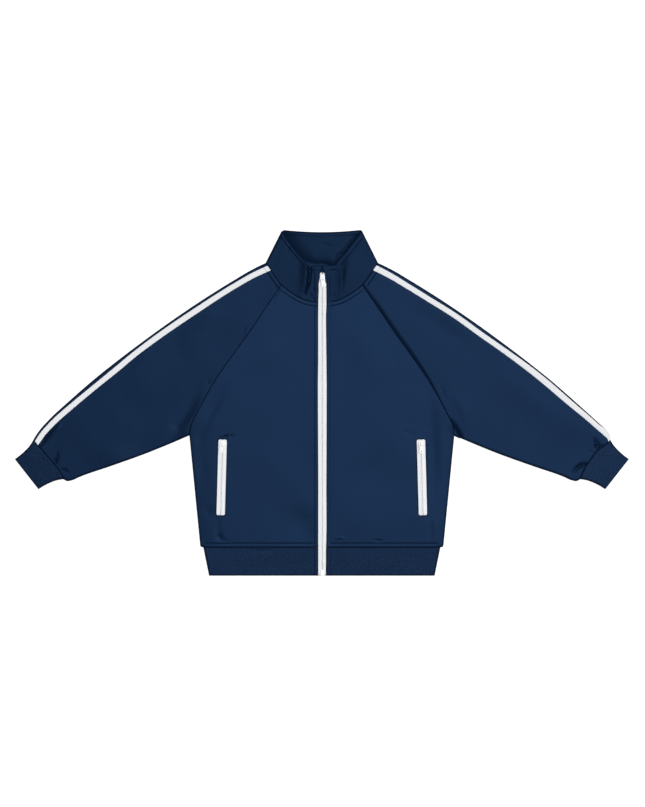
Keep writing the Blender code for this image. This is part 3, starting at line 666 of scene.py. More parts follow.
# The two sleeves fold differently over the wrist, and their seams to the cuffs run differently.
OVER_WRIST = {
    1: ((434.6, 252), (445, 242.5), (452, 236), (457.6, 229.4), (460.9, 223.4), CUFF_OUTER),
    -1: ((437.8, 248.2), (452.5, 231.5), CUFF_OUTER),
}
UNDERARM = (
    ARMPIT, (236.1, 213.8), (283.4, 194.6), (336.9, 175.4), (388, 157.6), (400, 152.4), (408, 151.3),
    CUFF_INNER,
)
CUFF_SEAM = {
    1: (CUFF_OUTER, (455.5, 211.5), (441.8, 201), (427.4, 183.4), (416.4, 164), CUFF_INNER),
    -1: (CUFF_OUTER, (452.3, 206.5), (432.5, 183.4), (416.8, 163), CUFF_INNER),
}
SLEEVE_CREASES = [Crease(*row) for row in (
    # the wearer's left sleeve
    (205, 252, 219, 222, 0.5, 4.2, 4, 0, -1.6, -3.4),
    (185.8, 310, 198, 275, 2, 2.4, 2.4, 0, -0.3, 0),
    (208, 296, 236, 232, 4, 8, 8, 0.1, 0.6, 0.2),
    (262, 336, 425, 232, -4, 16, 26, 0, 0.9, 0.5),
    (120, 440, 260, 345, 4, 14, 14, 0, -0.7, 0),
    (449, 207, 441, 206.5, 0, 1.6, 2, -0.8, -0.8, -0.2),
    (438.6, 203.8, 434.4, 222, 0, 0.9, 1.1, -1.9, -0.8, 0),
    (440.8, 206, 435.6, 224, 0, 1.1, 3.4, -2.2, -0.9, 0),
    (434.5, 195, 427, 199, 0, 0.8, 2.6, -0.3, -0.4, 0),
    (426, 175.4, 405, 165.6, -3.8, 0.5, 4, -1.5, -2.3, -0.6),
    (452, 224, 420, 254, 3, 5, 5, 0, -0.4, 0),
    # the wearer's right sleeve
    (-183, 299, -211, 228, 4, 3, 16, 0.1, 1.15, 1.5),
    (-194, 304, -230, 240, 3, 9, 10, 0, -0.75, -0.8),
    (-121, 402, -128, 383, 0, 2.2, 2.2, 0, -0.3, 0),
    (-179.5, 316, -184, 303, 0, 2, 2, 0, -0.35, 0),
    (-304, 331, -262, 369, 2, 8, 9, 0, 0.3, 0),
    (-372, 200, -262, 186, -8, 16, 18, 0, 0.4, 0),
    (-242, 398, -222, 330, 2, 18, 20, 0, -0.35, 0),
    (-130, 450, -230, 385, 3, 12, 12, 0, 0.7, 0),
    (-449, 209, -424, 240, 0.6, 2.6, 2.4, -2.2, -2, -0.2),
    (-448.5, 206, -417, 241, 1.6, 1.3, 3.2, 1, 1.5, 0.2),
    (-427.5, 183.5, -423, 201, 0, 0.6, 3.6, -1.7, -0.8, 0),
    (-415, 168.5, -406, 165, 1.5, 1.5, 1.8, -1.3, -1.2, -0.2),
)]
# How the sleeve sinks into the raglan seam: at heights up the garment, how deep and how wide.
RAGLAN_DIPS = {
    1: (
        (224, 3.6, 9), (238, 2.4, 5.5), (256, 0.6, 1.6), (280, 0.8, 2), (304, 1.8, 4.4),
        (334, 2.5, 6.5), (360, 2.8, 7.2), (400, 2.8, 7.8), (430, 2.4, 7.2), (465, 1.2, 3.6),
    ),
    -1: (
        (224, 1.5, 4), (250, 1.2, 2.4), (275, 0.8, 1.5), (400, 0.4, 1.4), (465, 0.5, 1.4),
    ),
}
# The stripe at distances down the arm from the neck: how far in front of the fold it starts, and
# how wide it shows, as it turns a little with the fold.
STRIPE = {
    1: (
        (0, 4.8, 9.6), (47, 5.8, 8.7), (103, 6, 8.3), (150, 4.9, 8.4),
        (197, 5.6, 8.4), (254, 4.3, 8.6), (301, 2.9, 9.6), (338, 2.7, 9.9),
        (376, 2.9, 9.3), (426, 1.9, 8.2), (440, 1.7, 8.2), (448, 0.6, 9.1),
        (456, 0.3, 8.5), (463, 0.3, 7.3), (470, 0.3, 4.7),
    ),
    -1: (
        (0, 5.6, 8.9), (56, 4.5, 8.5), (141, 4.5, 9.1), (197, 4, 9.1),
        (258, 4.5, 8.6), (296, 5.9, 8.8), (338, 6.3, 8.2), (385, 4.9, 8.5),
        (480, 3.9, 8),
    ),
}
SLEEVE_SWELL = 0.7
CUFF_SEAM_DROP = {1: 0.9, -1: 1.3}
# The groove along each edge of the stripe, where its stitches pull the sleeve down.
GROOVE, GROOVE_WIDTH = 0.3, 0.8

ARM_ANGLE = math.atan2(CUFF_OUTER[0] - SHOULDER_NECK[0], SHOULDER_NECK[1] - CUFF_OUTER[1])
overarm = {side: smooth(OVERARM + knots) for side, knots in OVER_WRIST.items()}
underarm = smooth(UNDERARM)
cuff_seam = {side: smooth(knots, 1.0) for side, knots in CUFF_SEAM.items()}
# Painted shade: the sleeves' knit is a darker, less lustrous copy of the body's, for how the light falls on
# them.
navy_sleeve_painted_shade = knit_material("navy knit, cut on the slant, darkened as painted shade", np.array(NAVY) * 0.9, lustre=0.19)


def stripe_edges(side):
    """The stripe's upper and lower edge, which lie a little in front of the fold over the arm."""
    down = distances_along(overarm[side])
    along, *sizes = np.array(STRIPE[side]).T
    start, width = (np.interp(down, *smooth(np.column_stack((along, size)), 5.0).T) for size in sizes)
    return shifted(overarm[side], -start), shifted(overarm[side], -start - width)


def sleeve_height(points, side):
    """The height of the outer face of a sleeve's upper layer at plan points."""
    own = points * (side, 1)
    height = BODY_PILE + CREASE_GAIN * creased(points, SLEEVE_CREASES)
    height += SLEEVE_SWELL * unevenness(points, SWELL_SIZE, 7.0 * side)
    height += sewn(from_line(own, sleeve_neck), 0.9, TOPSTITCH, 0.6)
    height += sunk(from_line(own, raglan_front), *at_rows(RAGLAN_DIPS[side], points[:, 1]))
    height += sewn(from_line(own, raglan_front), 0.9)
    height += sewn(from_line(own, cuff_seam[side]), CUFF_SEAM_DROP[side], roll=1.4)
    for edge in stripe_edges(side):
        height -= GROOVE * np.exp(-((from_line(own, edge) / GROOVE_WIDTH) ** 2))
    folded = rounded(from_line(own, overarm[side]), FOLD_REACH)
    folded = folded * rounded(from_line(own, underarm), FOLD_REACH)
    return BODY_PILE / 2 + (height - BODY_PILE / 2) * folded


def under_height(points, side, folds, pile):
    """The height of the outer face of a tube's lower layer: on the table, and up to its folds."""
    own = points * (side, 1)
    folded = np.prod([rounded(from_line(own, fold), FOLD_REACH) for fold in folds], axis=0)
    return pile / 2 * (1 - folded)


under_neck = smooth((RAGLAN_NECK_BACK, (75.0, 496.2), SHOULDER_NECK))
for side, name in SIDES:
    upper, under = (
        joined(neck, overarm[side], cuff_seam[side], underarm[::-1], shifted(raglan, -SEAM_GAP)) * (side, 1)
        for neck, raglan in ((sleeve_neck, raglan_front), (under_neck, raglan_back))
    )
    points, triangles = fill_plan([upper], EDGE_RINGS, NET_SPACING, fine=narrow(SLEEVE_CREASES))
    layers = [(points, sleeve_height(points, side), triangles, True)]
    points, triangles = fill_plan([under], HIDDEN_RINGS, HIDDEN_SPACING)
    heights = under_height(points, side, (overarm[side], underarm), BODY_PILE)
    layers.append((points, heights, triangles, False))
    cloth(
        f"sleeve_tube_{name}", f"sleeve_{name}", layers, CLOTH_WALL, navy_sleeve_painted_shade,
        grain=side * ARM_ANGLE,
    )


# ---------------------------------------------------------------- stripes
# A white woven tape runs down each sleeve from the collar's seam to the cuff's. It lies just in
# front of the fold over the arm, and a row of white stitches holds it along each edge.

STRIPE_RISE = 0.45
STRIPE_STEP = 0.8
STRIPE_RINGS, STRIPE_SPACING = (0.4, 1.0), 2.0
TAPE_WALL = 0.4
WHITE = (0.755, 0.765, 0.785)


def woven_surface():
    """Close crosswise ribs of a woven tape, from a place on it: their relief, and a tone with painted shade
    in their grooves.
    """
    tree, given, out = new_group(
        "woven surface", "ShaderNodeTree",
        {"Place": "Vector", "Rib": 0.0007}, {"Tone": "Float", "Relief": "Float"},
    )
    place = add_node(tree, "ShaderNodeSeparateXYZ", {0: given["Place"]}).outputs
    across = maths(tree, "PINGPONG", maths(tree, "DIVIDE", place["X"], given["Rib"]), 1.0)
    along = maths(tree, "DIVIDE", place["Y"], given["Rib"])
    twill = maths(tree, "SINE", maths(tree, "MULTIPLY", maths(tree, "ADD", along, across), 2 * math.pi))
    relief = maths(tree, "MULTIPLY_ADD", noise_of(tree, given["Place"], 700.0), 0.6, twill)
    # The tone follows the relief: painted shade in the grooves between the ribs, and the random grain.
    tree.links.new(maths(tree, "MULTIPLY_ADD", relief, 0.015, 0.99), out["Tone"])
    tree.links.new(relief, out["Relief"])
    return tree


WOVEN_SURFACE = woven_surface()
WEAVE_DEPTH = 0.00006


def woven_material(name, colour):
    """White polyester yarn, woven close and a little smoother than the knit."""
    material, tree, shader = new_material(name, {"Roughness": 0.7, "Specular IOR Level": 0.2})
    textured(tree, shader, colour, along_grain(tree, WOVEN_SURFACE), WEAVE_DEPTH)
    return material


white_tape = woven_material("white woven tape", WHITE)


def crossing(seam, side, distance):
    """The point of a seam that lies a distance in front of the fold over the arm."""
    away = from_line(seam, overarm[side])
    return np.array([[np.interp(distance, away, seam[:, axis]) for axis in (0, 1)]])


for side, name in SIDES:
    (_, neck_start, neck_width), (_, cuff_start, cuff_width) = STRIPE[side][0], STRIPE[side][-1]
    edges = []
    for line, share in zip(stripe_edges(side), (0, 1)):
        start = crossing(sleeve_neck[::-1], side, neck_start + share * neck_width)
        end = crossing(cuff_seam[side], side, cuff_start + share * cuff_width)
        edges.append(smooth(np.concatenate((start, line[5:-5], end)), STRIPE_STEP))
    upper, lower = edges
    head = smooth((lower[0], upper[0]), STRIPE_STEP)
    foot = smooth((upper[-1], lower[-1]), STRIPE_STEP)
    stripe_loop = joined(upper, foot, lower[::-1], head) * (side, 1)
    points, triangles = fill_plan([stripe_loop], STRIPE_RINGS, STRIPE_SPACING)
    layers = [(points, sleeve_height(points, side) + STRIPE_RISE, triangles, True)]
    cloth(
        f"stripe_tape_{name}", f"stripe_{name}", layers, TAPE_WALL, white_tape,
        grain=side * ARM_ANGLE,
    )


# ---------------------------------------------------------------- cuffs
# Each cuff is a tube of double rib knit, narrower at its end than at its seam. The sleeve is
# gathered a little where it is sewn on, and the ribs run on from the arm.

CUFF_PILE = 1000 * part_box("cuff_left")[1].z
RIB_WALL = 2.0
RIB_FOLD = 3.6
RIB_DEPTH = 0.22
RIB_RINGS = (0.3, 0.9, 1.7)
RIB_SPACING = 1.2
CUFF_RIBS, CUFF_ROWS = 42, 18
CUFF_LEAN = math.atan2(38.0, 31.0)
NAVY_RIB = (0.0032, 0.0078, 0.0212)
CUFF_TOP = (CUFF_OUTER, (467.0, 208.6), (475.6, 199.2), (491.1, 186.6))
CUFF_FOOT = (CUFF_INNER, (424.0, 152.4), (435.4, 148.2), (453.2, 138.2))

navy_rib = knit_material("navy rib", NAVY_RIB, 0.0009, 0.00006, 0.18, 7.0, 380.0)
cuff_top, cuff_foot = smooth(CUFF_TOP), smooth(CUFF_FOOT)
cuff_end = smooth((CUFF_TOP[-1], CUFF_FOOT[-1]), 0.5)


def ribbed(across):
    """The relief of rib knit, across which one rib is 1."""
    return RIB_DEPTH * (np.abs(np.sin(np.pi * across)) ** 0.7 - 0.6)


def rib_filling(start, end, ribs, rows):
    """Points along ribs that run from one line to another, four across each rib."""
    across = np.linspace(0, 1, 4 * ribs + 1)
    start, end = (
        np.stack([np.interp(across, np.linspace(0, 1, len(line)), column) for column in line.T], axis=1)
        for line in (start, end)
    )
    return np.concatenate([start * (1 - t) + end * t for t in np.linspace(0, 1, rows)])


def cuff_height(points, side):
    """The height of the outer face of a cuff's upper layer at plan points."""
    own = points * (side, 1)
    from_top, from_foot = from_line(own, cuff_top), from_line(own, cuff_foot)
    height = CUFF_PILE + ribbed(CUFF_RIBS * from_top / (from_top + from_foot))
    height += 0.3 * unevenness(points, 18.0, 3.0 * side)
    height += sewn(from_line(own, cuff_seam[side]), 1.6, roll=1.6)
    height += sewn(from_line(own, cuff_end), 1.5, roll=1.6)
    folded = rounded(from_top, RIB_FOLD) * rounded(from_foot, RIB_FOLD)
    return CUFF_PILE / 2 + (height - CUFF_PILE / 2) * folded


for side, name in SIDES:
    wrist = shifted(cuff_seam[side], SEAM_GAP)
    cuff_loop = joined(wrist, cuff_foot, cuff_end[::-1], cuff_top[::-1]) * (side, 1)
    filling = rib_filling(cuff_seam[side], cuff_end, CUFF_RIBS, CUFF_ROWS) * (side, 1)
    points, triangles = fill_plan([cuff_loop], RIB_RINGS, RIB_SPACING, filling=filling)
    under = under_height(points, side, (cuff_top, cuff_foot), CUFF_PILE)
    layers = [(points, cuff_height(points, side), triangles, True), (points, under, triangles, False)]
    cloth(
        f"cuff_rib_{name}", f"cuff_{name}", layers, RIB_WALL, navy_rib,
        grain=side * CUFF_LEAN,
    )


# ---------------------------------------------------------------- waistband
# The waistband is a strip of the same rib, doubled over at its lower edge and sewn to the body's
# hem. It runs all round, from one side of the zip to the other.

BAND_PILE = 1000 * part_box("waistband")[1].z
BAND_HALF_FOOT, BAND_HALF_HEAD = 180.5, 189.7
BAND_RIBS, BAND_ROWS = 97, 16
BAND_BACK_SPACING = 4.0
BAND_HEAD_Y = HEM_Y - SEAM_GAP
BAND_CREASES = [Crease(*row) for row in (
    (-125, 41.5, -72, 40.5, 0, 1.6, 2.2, 0, -0.7, 0),
    (-60, 41, -20, 42, 0, 1.5, 1.5, 0, -0.3, 0),
    (60, 41.8, 96, 41.4, 0, 1.5, 1.5, 0, -0.3, 0),
)]

band_foot = smooth(((ZIP_EDGE_X, 0.0), (BAND_HALF_FOOT, 0.0)), 0.5)
band_side = smooth(((BAND_HALF_FOOT, 0.0), (BAND_HALF_HEAD, BAND_HEAD_Y)))
band_head = smooth(((ZIP_EDGE_X, BAND_HEAD_Y), (BAND_HALF_HEAD, BAND_HEAD_Y)), 0.5)
band_zip_edge = smooth(((ZIP_EDGE_X, 0.0), (ZIP_EDGE_X, BAND_HEAD_Y)))


def band_height(points, side):
    """The height of the outer face of the waistband's front at plan points."""
    own = points * (side, 1)
    half = BAND_HALF_FOOT + (BAND_HALF_HEAD - BAND_HALF_FOOT) * points[:, 1] / BAND_HEAD_Y
    height = BAND_PILE + ribbed(BAND_RIBS * points[:, 0] / half) + creased(points, BAND_CREASES)
    height += 0.3 * unevenness(points, 30.0, 5.0 * side)
    height += sewn(from_line(own, band_head), 1.1, roll=1.0)
    height += sewn(from_line(own, band_foot), 1.8, roll=2.0)
    height += sewn(from_line(own, band_zip_edge), 1.6, FACING[side], 0.35, roll=1.6)
    return BAND_PILE / 2 + (height - BAND_PILE / 2) * rounded(from_line(own, band_side), RIB_FOLD)


band_layers = []
band_loop = joined(band_foot, band_side, band_head[::-1], band_zip_edge[::-1])
band_filling = rib_filling(band_foot, band_head, BAND_RIBS, BAND_ROWS)
for side in (1, -1):
    filling = band_filling * (side, 1)
    points, triangles = fill_plan([band_loop * (side, 1)], RIB_RINGS, RIB_SPACING, filling=filling)
    band_layers.append((points, band_height(points, side), triangles, True))
under_foot = smooth(((-BAND_HALF_FOOT, 0.0), (BAND_HALF_FOOT, 0.0)))
under_head = smooth(((-BAND_HALF_HEAD, BAND_HEAD_Y), (BAND_HALF_HEAD, BAND_HEAD_Y)))
loop = joined(under_foot, band_side, under_head[::-1], (band_side * MIRROR)[::-1])
points, triangles = fill_plan([loop], HIDDEN_RINGS, BAND_BACK_SPACING)
heights = BAND_PILE / 2 * (1 - rounded(from_both(points, band_side), RIB_FOLD))
band_layers.append((points, heights, triangles, False))
cloth("waistband_rib", "waistband", band_layers, RIB_WALL, navy_rib)


# ---------------------------------------------------------------- collar
# The standing collar is a doubled band of the body's knit, topstitched along its upper edge and
# beside the zip. Laid flat, its two front halves lie over the back of the neck and roll apart.

COLLAR_PILE = 7.0
COLLAR_WALL = 2.2
COLLAR_FOLD = 3.2
COLLAR_SPACING, COLLAR_BACK_SPACING = 1.3, 2.0
COLLAR_ROLL = {1: 1.2, -1: 3.0}
COLLAR_STITCH = {1: 7.6, -1: 6.1}
COLLAR_PAD = {1: 0.6, -1: 0.8}
COLLAR_FACING = {1: 5.6, -1: 4.9}
ROLL_END = {1: 30.0, -1: 23.0}
# The strip beside the zip isn't rolled. It ends at COLLAR_STRIP_Y, and the padded band along its
# upper edge is twice STRIP_PAD_HALF wide and STRIP_PAD high.
COLLAR_STRIP_Y = 488.6
STRIP_PAD_HALF, STRIP_PAD = 3.3, 0.5
COLLAR_CORNER = (64.4, 551.4)
COLLAR_MEET = (0.3, 495.4)
COLLAR_BACK_SAG = 3.9
COLLAR_BACK_Z = 3.4
# The back sinks under each front half: on which side, how deep, and over what width beside it.
COLLAR_HOLLOWS = ((1, 3.1, 13.0), (-1, 3.3, 24.0))
COLLAR_RINGS = (0.25, 0.6, 1.1, 1.8, 2.6, 3.6, 4.8, 5.6, 6.1, 6.6, 7.2, 7.6, 8.0, 8.8)
COLLAR_TOP = {
    1: (COLLAR_MEET, (10, 495.8), (20.5, 497.2), (27, 505), (40.4, 520.8), (54.3, 538.5), COLLAR_CORNER),
    -1: (
        COLLAR_MEET, (9, 495.6), (16, 494.6), (21.5, 494.6), (26.8, 502.5), (38.2, 515.4), (50.9, 531.1),
        COLLAR_CORNER,
    ),
}
COLLAR_EDGE = (
    FRONT_NECK, (6.8, 448), (6.7, 458), (6.4, 466), (5, 471.5), (4.3, 476), (4, 481), (2.6, 486),
    (0.9, 489), COLLAR_MEET,
)
COLLAR_CREASES = [Crease(*row) for row in (
    # the wearer's right half, which rolls over beside the zip and stands over a hollow
    (-30.2, 444, -22.8, 493, -1.3, 9, 1.2, 0.4, 1.8, 2),
    (-20.2, 464, -17.4, 488, -0.4, 3.8, 0.8, -1.4, -3.2, -3.6),
    (-28, 446.5, -20.6, 467, -0.8, 1.7, 0.8, -0.8, -2, -1.6),
    (-34, 462, -36, 500, 0, 4.6, 4.6, 0, -0.1, -0.15),
    (-22.5, 488.8, -10.5, 488.6, 0, 0.7, 0.7, -0.6, -0.8, -0.3),
    (-19, 452, -12.4, 447, 1.2, 1.6, 1.2, 0, 0.7, 0.3),
    (-17, 461, -12.4, 455, 0.8, 1.2, 1.2, 0, -0.6, 0),
    (-51, 532, -54.5, 517, 0, 2.2, 2.2, -0.2, -0.6, -0.1),
    # the wearer's left half, flat beside the zip and then rolled
    (30.4, 445, 30.8, 494, 0, 6, 1.3, 0.15, 0.35, 0.3),
    (35.2, 446, 47, 522, 0, 8, 22, 0.5, 2.3, 0),
    (12.6, 488.7, 30, 488.5, 0, 0.6, 0.6, -0.5, -0.6, -0.4),
    (19, 496.4, 30.6, 496.4, 0, 0.7, 0.7, -0.6, -0.8, -0.6),
    (30.4, 496.4, 30.4, 488.5, 0, 0.7, 0.7, -0.6, -0.5, -0.3),
    (18, 458, 21.5, 445, -0.8, 1.2, 1.2, 0, -0.5, -0.3),
    (66, 500, 60, 470, 2, 9, 9, 0, 0.6, 0),
)]
COLLAR_BACK_CREASES = [Crease(*row) for row in (
    (-6, 531, 22, 525, 1, 2, 3, 0, -0.6, 0),
    (-26, 541, 30, 543, 0, 4, 6, 0, 0.5, 0),
    (-24, 502, -8, 497, 0, 5, 3, -0.8, -1.6, -0.6),
    (22, 508, 34, 516, 2, 2, 2, 0, -0.6, -0.2),
)]

collar_neck = shifted(neck_seam, SEAM_GAP)
collar_fold = smooth((SHOULDER_NECK, COLLAR_CORNER))
collar_edge = smooth(COLLAR_EDGE, 1.0)
collar_top = {side: smooth(knots, 1.0) for side, knots in COLLAR_TOP.items()}
half_knots = (BACK_NECK, RAGLAN_NECK_BACK, (75.0, 496.2), SHOULDER_NECK)
back_neck_seam = smooth([(-x, y) for x, y in half_knots[:0:-1]] + list(half_knots))
collar_back_top = smooth((
    (-COLLAR_CORNER[0], COLLAR_CORNER[1]), (0.0, COLLAR_CORNER[1] - COLLAR_BACK_SAG), COLLAR_CORNER,
))


def collar_height(points, side):
    """The height of the outer face of the collar's front halves at plan points."""
    own = points * (side, 1)
    height = COLLAR_PILE + creased(points, COLLAR_CREASES)
    height += 0.3 * unevenness(points, 25.0, 11.0 * side)
    from_top = from_line(own, collar_top[side])
    in_roll = np.clip(np.abs(points[:, 0]) - ROLL_END[side], 0, 1)
    height += sewn(from_top, 1.2, roll=COLLAR_ROLL[side])
    height += in_roll * sewn(from_top, 0.0, COLLAR_STITCH[side], COLLAR_PAD[side])
    height += (1 - in_roll) * STRIP_PAD * (np.abs(from_top - STRIP_PAD_HALF) < STRIP_PAD_HALF)
    height += sewn(from_line(own, collar_edge), 1.5)
    past_zip = np.abs(points[:, 0]) - ZIP_EDGE_X
    facing = sewn(np.abs(past_zip), 0.0, COLLAR_FACING[side], 0.4)
    height += np.where(points[:, 1] < COLLAR_STRIP_Y, facing, 0.0)
    height += sewn(from_line(own, collar_neck), 0.8)
    folded = rounded(from_line(own, collar_fold), COLLAR_FOLD)
    return COLLAR_PILE / 2 + (height - COLLAR_PILE / 2) * folded


collar_layers = []
for side in (1, -1):
    loop = joined(collar_neck, collar_fold, collar_top[side][::-1], collar_edge[::-1]) * (side, 1)
    points, triangles = fill_plan([loop], COLLAR_RINGS, COLLAR_SPACING, fine=narrow(COLLAR_CREASES))
    collar_layers.append((points, collar_height(points, side), triangles, True))
loop = joined(
    shifted(back_neck_seam, SEAM_GAP), collar_fold, collar_back_top[::-1], (collar_fold * MIRROR)[::-1],
)
points, triangles = fill_plan([loop], COLLAR_RINGS, COLLAR_BACK_SPACING)
heights = COLLAR_BACK_Z + creased(points, COLLAR_BACK_CREASES)
heights += sewn(from_line(points, collar_back_top), 0.8, 5.0, 0.5)
for side, drop, reach in COLLAR_HOLLOWS:
    inside = beside(points, collar_top[side] * (side, 1))[0] * side
    heights += np.where(inside > 0, sunk(inside, drop, reach), -drop)
folded = rounded(from_both(points, collar_fold), COLLAR_FOLD)
heights = COLLAR_PILE / 2 + (heights.clip(0.05) - COLLAR_PILE / 2) * folded
collar_layers.append((points, heights, triangles, False))
# Painted shade: the collar's knit is a darker, less lustrous copy of the body's, for the collar and the
# back of the neck lying in shade.
navy_collar_painted_shade = knit_material("navy knit, cut across, darkened as painted shade", np.array(NAVY) * 0.74, lustre=0.15)
cloth(
    "collar_band", "collar", collar_layers, COLLAR_WALL, navy_collar_painted_shade,
    grain=math.pi / 2,
)


# ---------------------------------------------------------------- zips
# Three white coil zips: one up the front and one in each pocket. Each has two woven tapes, a
# polyester coil whose turns lock in the middle, a painted slider and its pull tab. The front one
# opens at its foot, where a small box holds its pin.

TAPE_LEVEL = 4.25
TAPE_INNER = 0.3
# Points across a tape, from its inner edge on, with a raised bead beside the coil.
TAPE_COLUMNS = (TAPE_INNER, 1.5, 3.0, 3.4, 3.8, 5.0, 6.5, 9.0)
TAPE_ROW = 5.0
BEAD_X, BEAD_WIDTH, BEAD_HEIGHT = 3.4, 0.4, 0.3
FRONT_TAPE_HALF = 15.5
POCKET_TAPE_HALF = 10.5
COIL_PITCH = 1.3
COIL_CENTRE_Z = 4.8
FRONT_ZIP_FOOT, FRONT_ZIP_TOP = 0.4, 484.5
FRONT_SLIDER_Y = 476.0
POCKET_SLIDER_DROP = 7.0
ZIP_BOX_TOP = 9.0
ZIP_BOX_HALF, ZIP_BOX_CORNER = 2.9, 1.0
ZIP_BOX_Z = (2.8, 5.8)
PULL_AXIS_Z = 7.75
PULL_TILT = math.radians(4)
PULL_LEAN = {
    "front_zip": math.radians(8), "right_pocket_zip": math.radians(-10), "left_pocket_zip": 0.0,
}
TURN_X = 0.00128
TURN_SIZE = (0.00158, 0.00047, 0.00085)
TURN_SLANT = 0.12
MOULDED_RELIEF = 0.00002


def plain_material(name, colour, roughness):
    """Moulded or painted white, with the slight unevenness of its surface."""
    material, tree, shader = new_material(name, {"Roughness": roughness})
    grain = noise_of(tree, add_node(tree, "ShaderNodeTexCoord").outputs["Object"], 900.0, 3.0)
    tone = maths(tree, "MULTIPLY_ADD", grain, 0.06, 0.97)
    textured(tree, shader, colour, (tone, grain), MOULDED_RELIEF, 0.4)
    return material


white_coil = plain_material("white polyester coil", (0.92, 0.93, 0.95), 0.5)
white_paint = plain_material("white paint", (0.84, 0.85, 0.86), 0.35)


def finish_group(tree, copies, given, out):
    """Makes copies of a mesh one smooth mesh in the given material, as what the group puts out."""
    real = made(tree, "GeometryNodeRealizeInstances", {"Geometry": copies})
    smoothed = made(tree, "GeometryNodeSetShadeSmooth", {0: real})
    painted = made(tree, "GeometryNodeSetMaterial", {"Geometry": smoothed, "Material": given["Material"]})
    tree.links.new(painted, out["Geometry"])


def coil_tree():
    """Turns of a zip's coil: two rows of them, locked between each other along +Y."""
    tree, given, out = new_group(
        "zip coil", "GeometryNodeTree",
        {
            "Geometry": "Geometry", "Turns": 10, "Pitch": 0.0013, "Foot": 0.0, "Level": 0.0,
            "Material": "Material",
        },
        {"Geometry": "Geometry"},
    )
    turn = made(tree, "GeometryNodeMeshUVSphere", {"Segments": 8, "Rings": 6, "Radius": 1.0})
    step = made(tree, "ShaderNodeCombineXYZ", {"Y": given["Pitch"]})
    both = tree.nodes.new("GeometryNodeJoinGeometry")
    for row_side, lag in ((1, 0.0), (-1, 0.5)):
        foot_y = maths(tree, "MULTIPLY_ADD", given["Pitch"], lag, given["Foot"])
        first = {"X": row_side * TURN_X, "Y": foot_y, "Z": given["Level"]}
        first = made(tree, "ShaderNodeCombineXYZ", first)
        line = {"Count": given["Turns"], "Start Location": first, "Offset": step}
        row = made(tree, "GeometryNodeInstanceOnPoints", {
            "Points": made(tree, "GeometryNodeMeshLine", line), "Instance": turn, "Scale": TURN_SIZE,
            "Rotation": (0.0, 0.0, row_side * TURN_SLANT),
        })
        tree.links.new(row, both.inputs["Geometry"])
    finish_group(tree, both.outputs["Geometry"], given, out)
    return tree


def grown(name, data, tree, values):
    """A plain mesh object of what a geometry tree makes from some data with these values."""
    seed = placed(name + "_seed", data)
    modifier = seed.modifiers.new("nodes", "NODES")
    modifier.node_group = tree
    for item in tree.interface.items_tree:
        if item.item_type == "SOCKET" and item.in_out == "INPUT" and item.name in values:
            modifier[item.identifier] = values[item.name]
    shown = seed.evaluated_get(bpy.context.evaluated_depsgraph_get())
    mesh = bpy.data.meshes.new_from_object(shown)
    bpy.data.objects.remove(seed)
    return placed(name, mesh)


def zip_place(prefix):
    """A zip's own frame, with +Y up the zip from its lower end, in the frame's metres."""
    if prefix == "front_zip":
        local = Matrix.Translation((COIL_DRIFT, 0, 0))
    else:
        local = pocket_matrix(1 if prefix.startswith("left") else -1)
    local.translation = metres(local.translation)
    return local


def slab(form, outline, low, high, sideways=False):
    """A prism over an outline, along z, or sideways along x over an outline in y and z."""
    rings = []
    for end in (low, high):
        places = [(end, a, b) if sideways else (a, b, end) for a, b in outline]
        rings.append([form.verts.new(place) for place in places])
    form.faces.new(rings[0][::-1])
    form.faces.new(rings[1])
    for i in range(len(outline)):
        j = (i + 1) % len(outline)
        form.faces.new((rings[0][i], rings[0][j], rings[1][j], rings[1][i]))


def hard_piece(name, form, place, material, edge):
    """A moulded or cast piece, with rounded edges."""
    bmesh.ops.recalc_face_normals(form, faces=form.faces)
    mesh = bpy.data.meshes.new(name)
    form.to_mesh(mesh)
    form.free()
    mesh.transform(place @ Matrix.Scale(MM, 4))
    mesh.shade_smooth()
    mesh.set_sharp_from_angle(angle=math.radians(50))
    mesh.materials.append(material)
    piece = placed(name, mesh)
    round_off = piece.modifiers.new("rounded edges", "BEVEL")
    round_off.width = edge * MM
    round_off.segments = 2
    round_off.limit_method = "ANGLE"
    return piece


SLIDER_HALF = ((2.9, -4.6), (3.5, -3.4), (3.7, 0), (3.8, 2.2), (3.1, 4.2), (1.8, 5.6))
SLIDER_BRIDGE = (
    (3.8, 2.6), (5.2, 2.6), (5.2, 6.2), (3, 6.4), (2.7, 9.2), (1.9, 10), (-2.6, 10), (-3.4, 9.2),
    (-3.7, 6.2), (-2.3, 6.2), (-2.2, 8.6), (-1.8, 9), (1, 9), (1.4, 8.6), (1.6, 6.2), (3.8, 5.8),
)
PULL_HALF = (
    (2.3, 0.9), (2.8, 0.4), (2.8, -4.6), (2.4, -6.2), (2.9, -9), (3.2, -12), (3, -13.2),
    (2.4, -14.3), (1.3, -15.1), (0.3, -15.3),
)
PULL_EYE = ((-1.8, -0.7), (1.8, -0.7), (1.8, -4.6), (-1.8, -4.6))
PULL_HOLE_Y, PULL_HOLE_RADIUS = -12.0, 1.1
PULL_HALF_WALL, PULL_ROUNDING = 0.45, 0.22
SLIDER_PLATES = ((5.5, 6.4), (2.0, 2.7))
BRIDGE_HALF = 1.0


def both_halves(half):
    """The outline of a symmetric piece, from its half at +x."""
    return [*half, *((-x, y) for x, y in reversed(half))]


def make_slider(prefix, place, axis_y):
    """The slider: a plate over the coil, one under it, and the bridge that holds the pull tab."""
    form = bmesh.new()
    for low, high in SLIDER_PLATES:
        slab(form, both_halves(SLIDER_HALF), low, high)
    slab(form, SLIDER_BRIDGE, BRIDGE_HALF, -BRIDGE_HALF, sideways=True)
    at_axis = place @ Matrix.Translation((0, axis_y * MM, 0))
    return hard_piece(f"{prefix}_slider_body", form, at_axis, white_paint, 0.28)


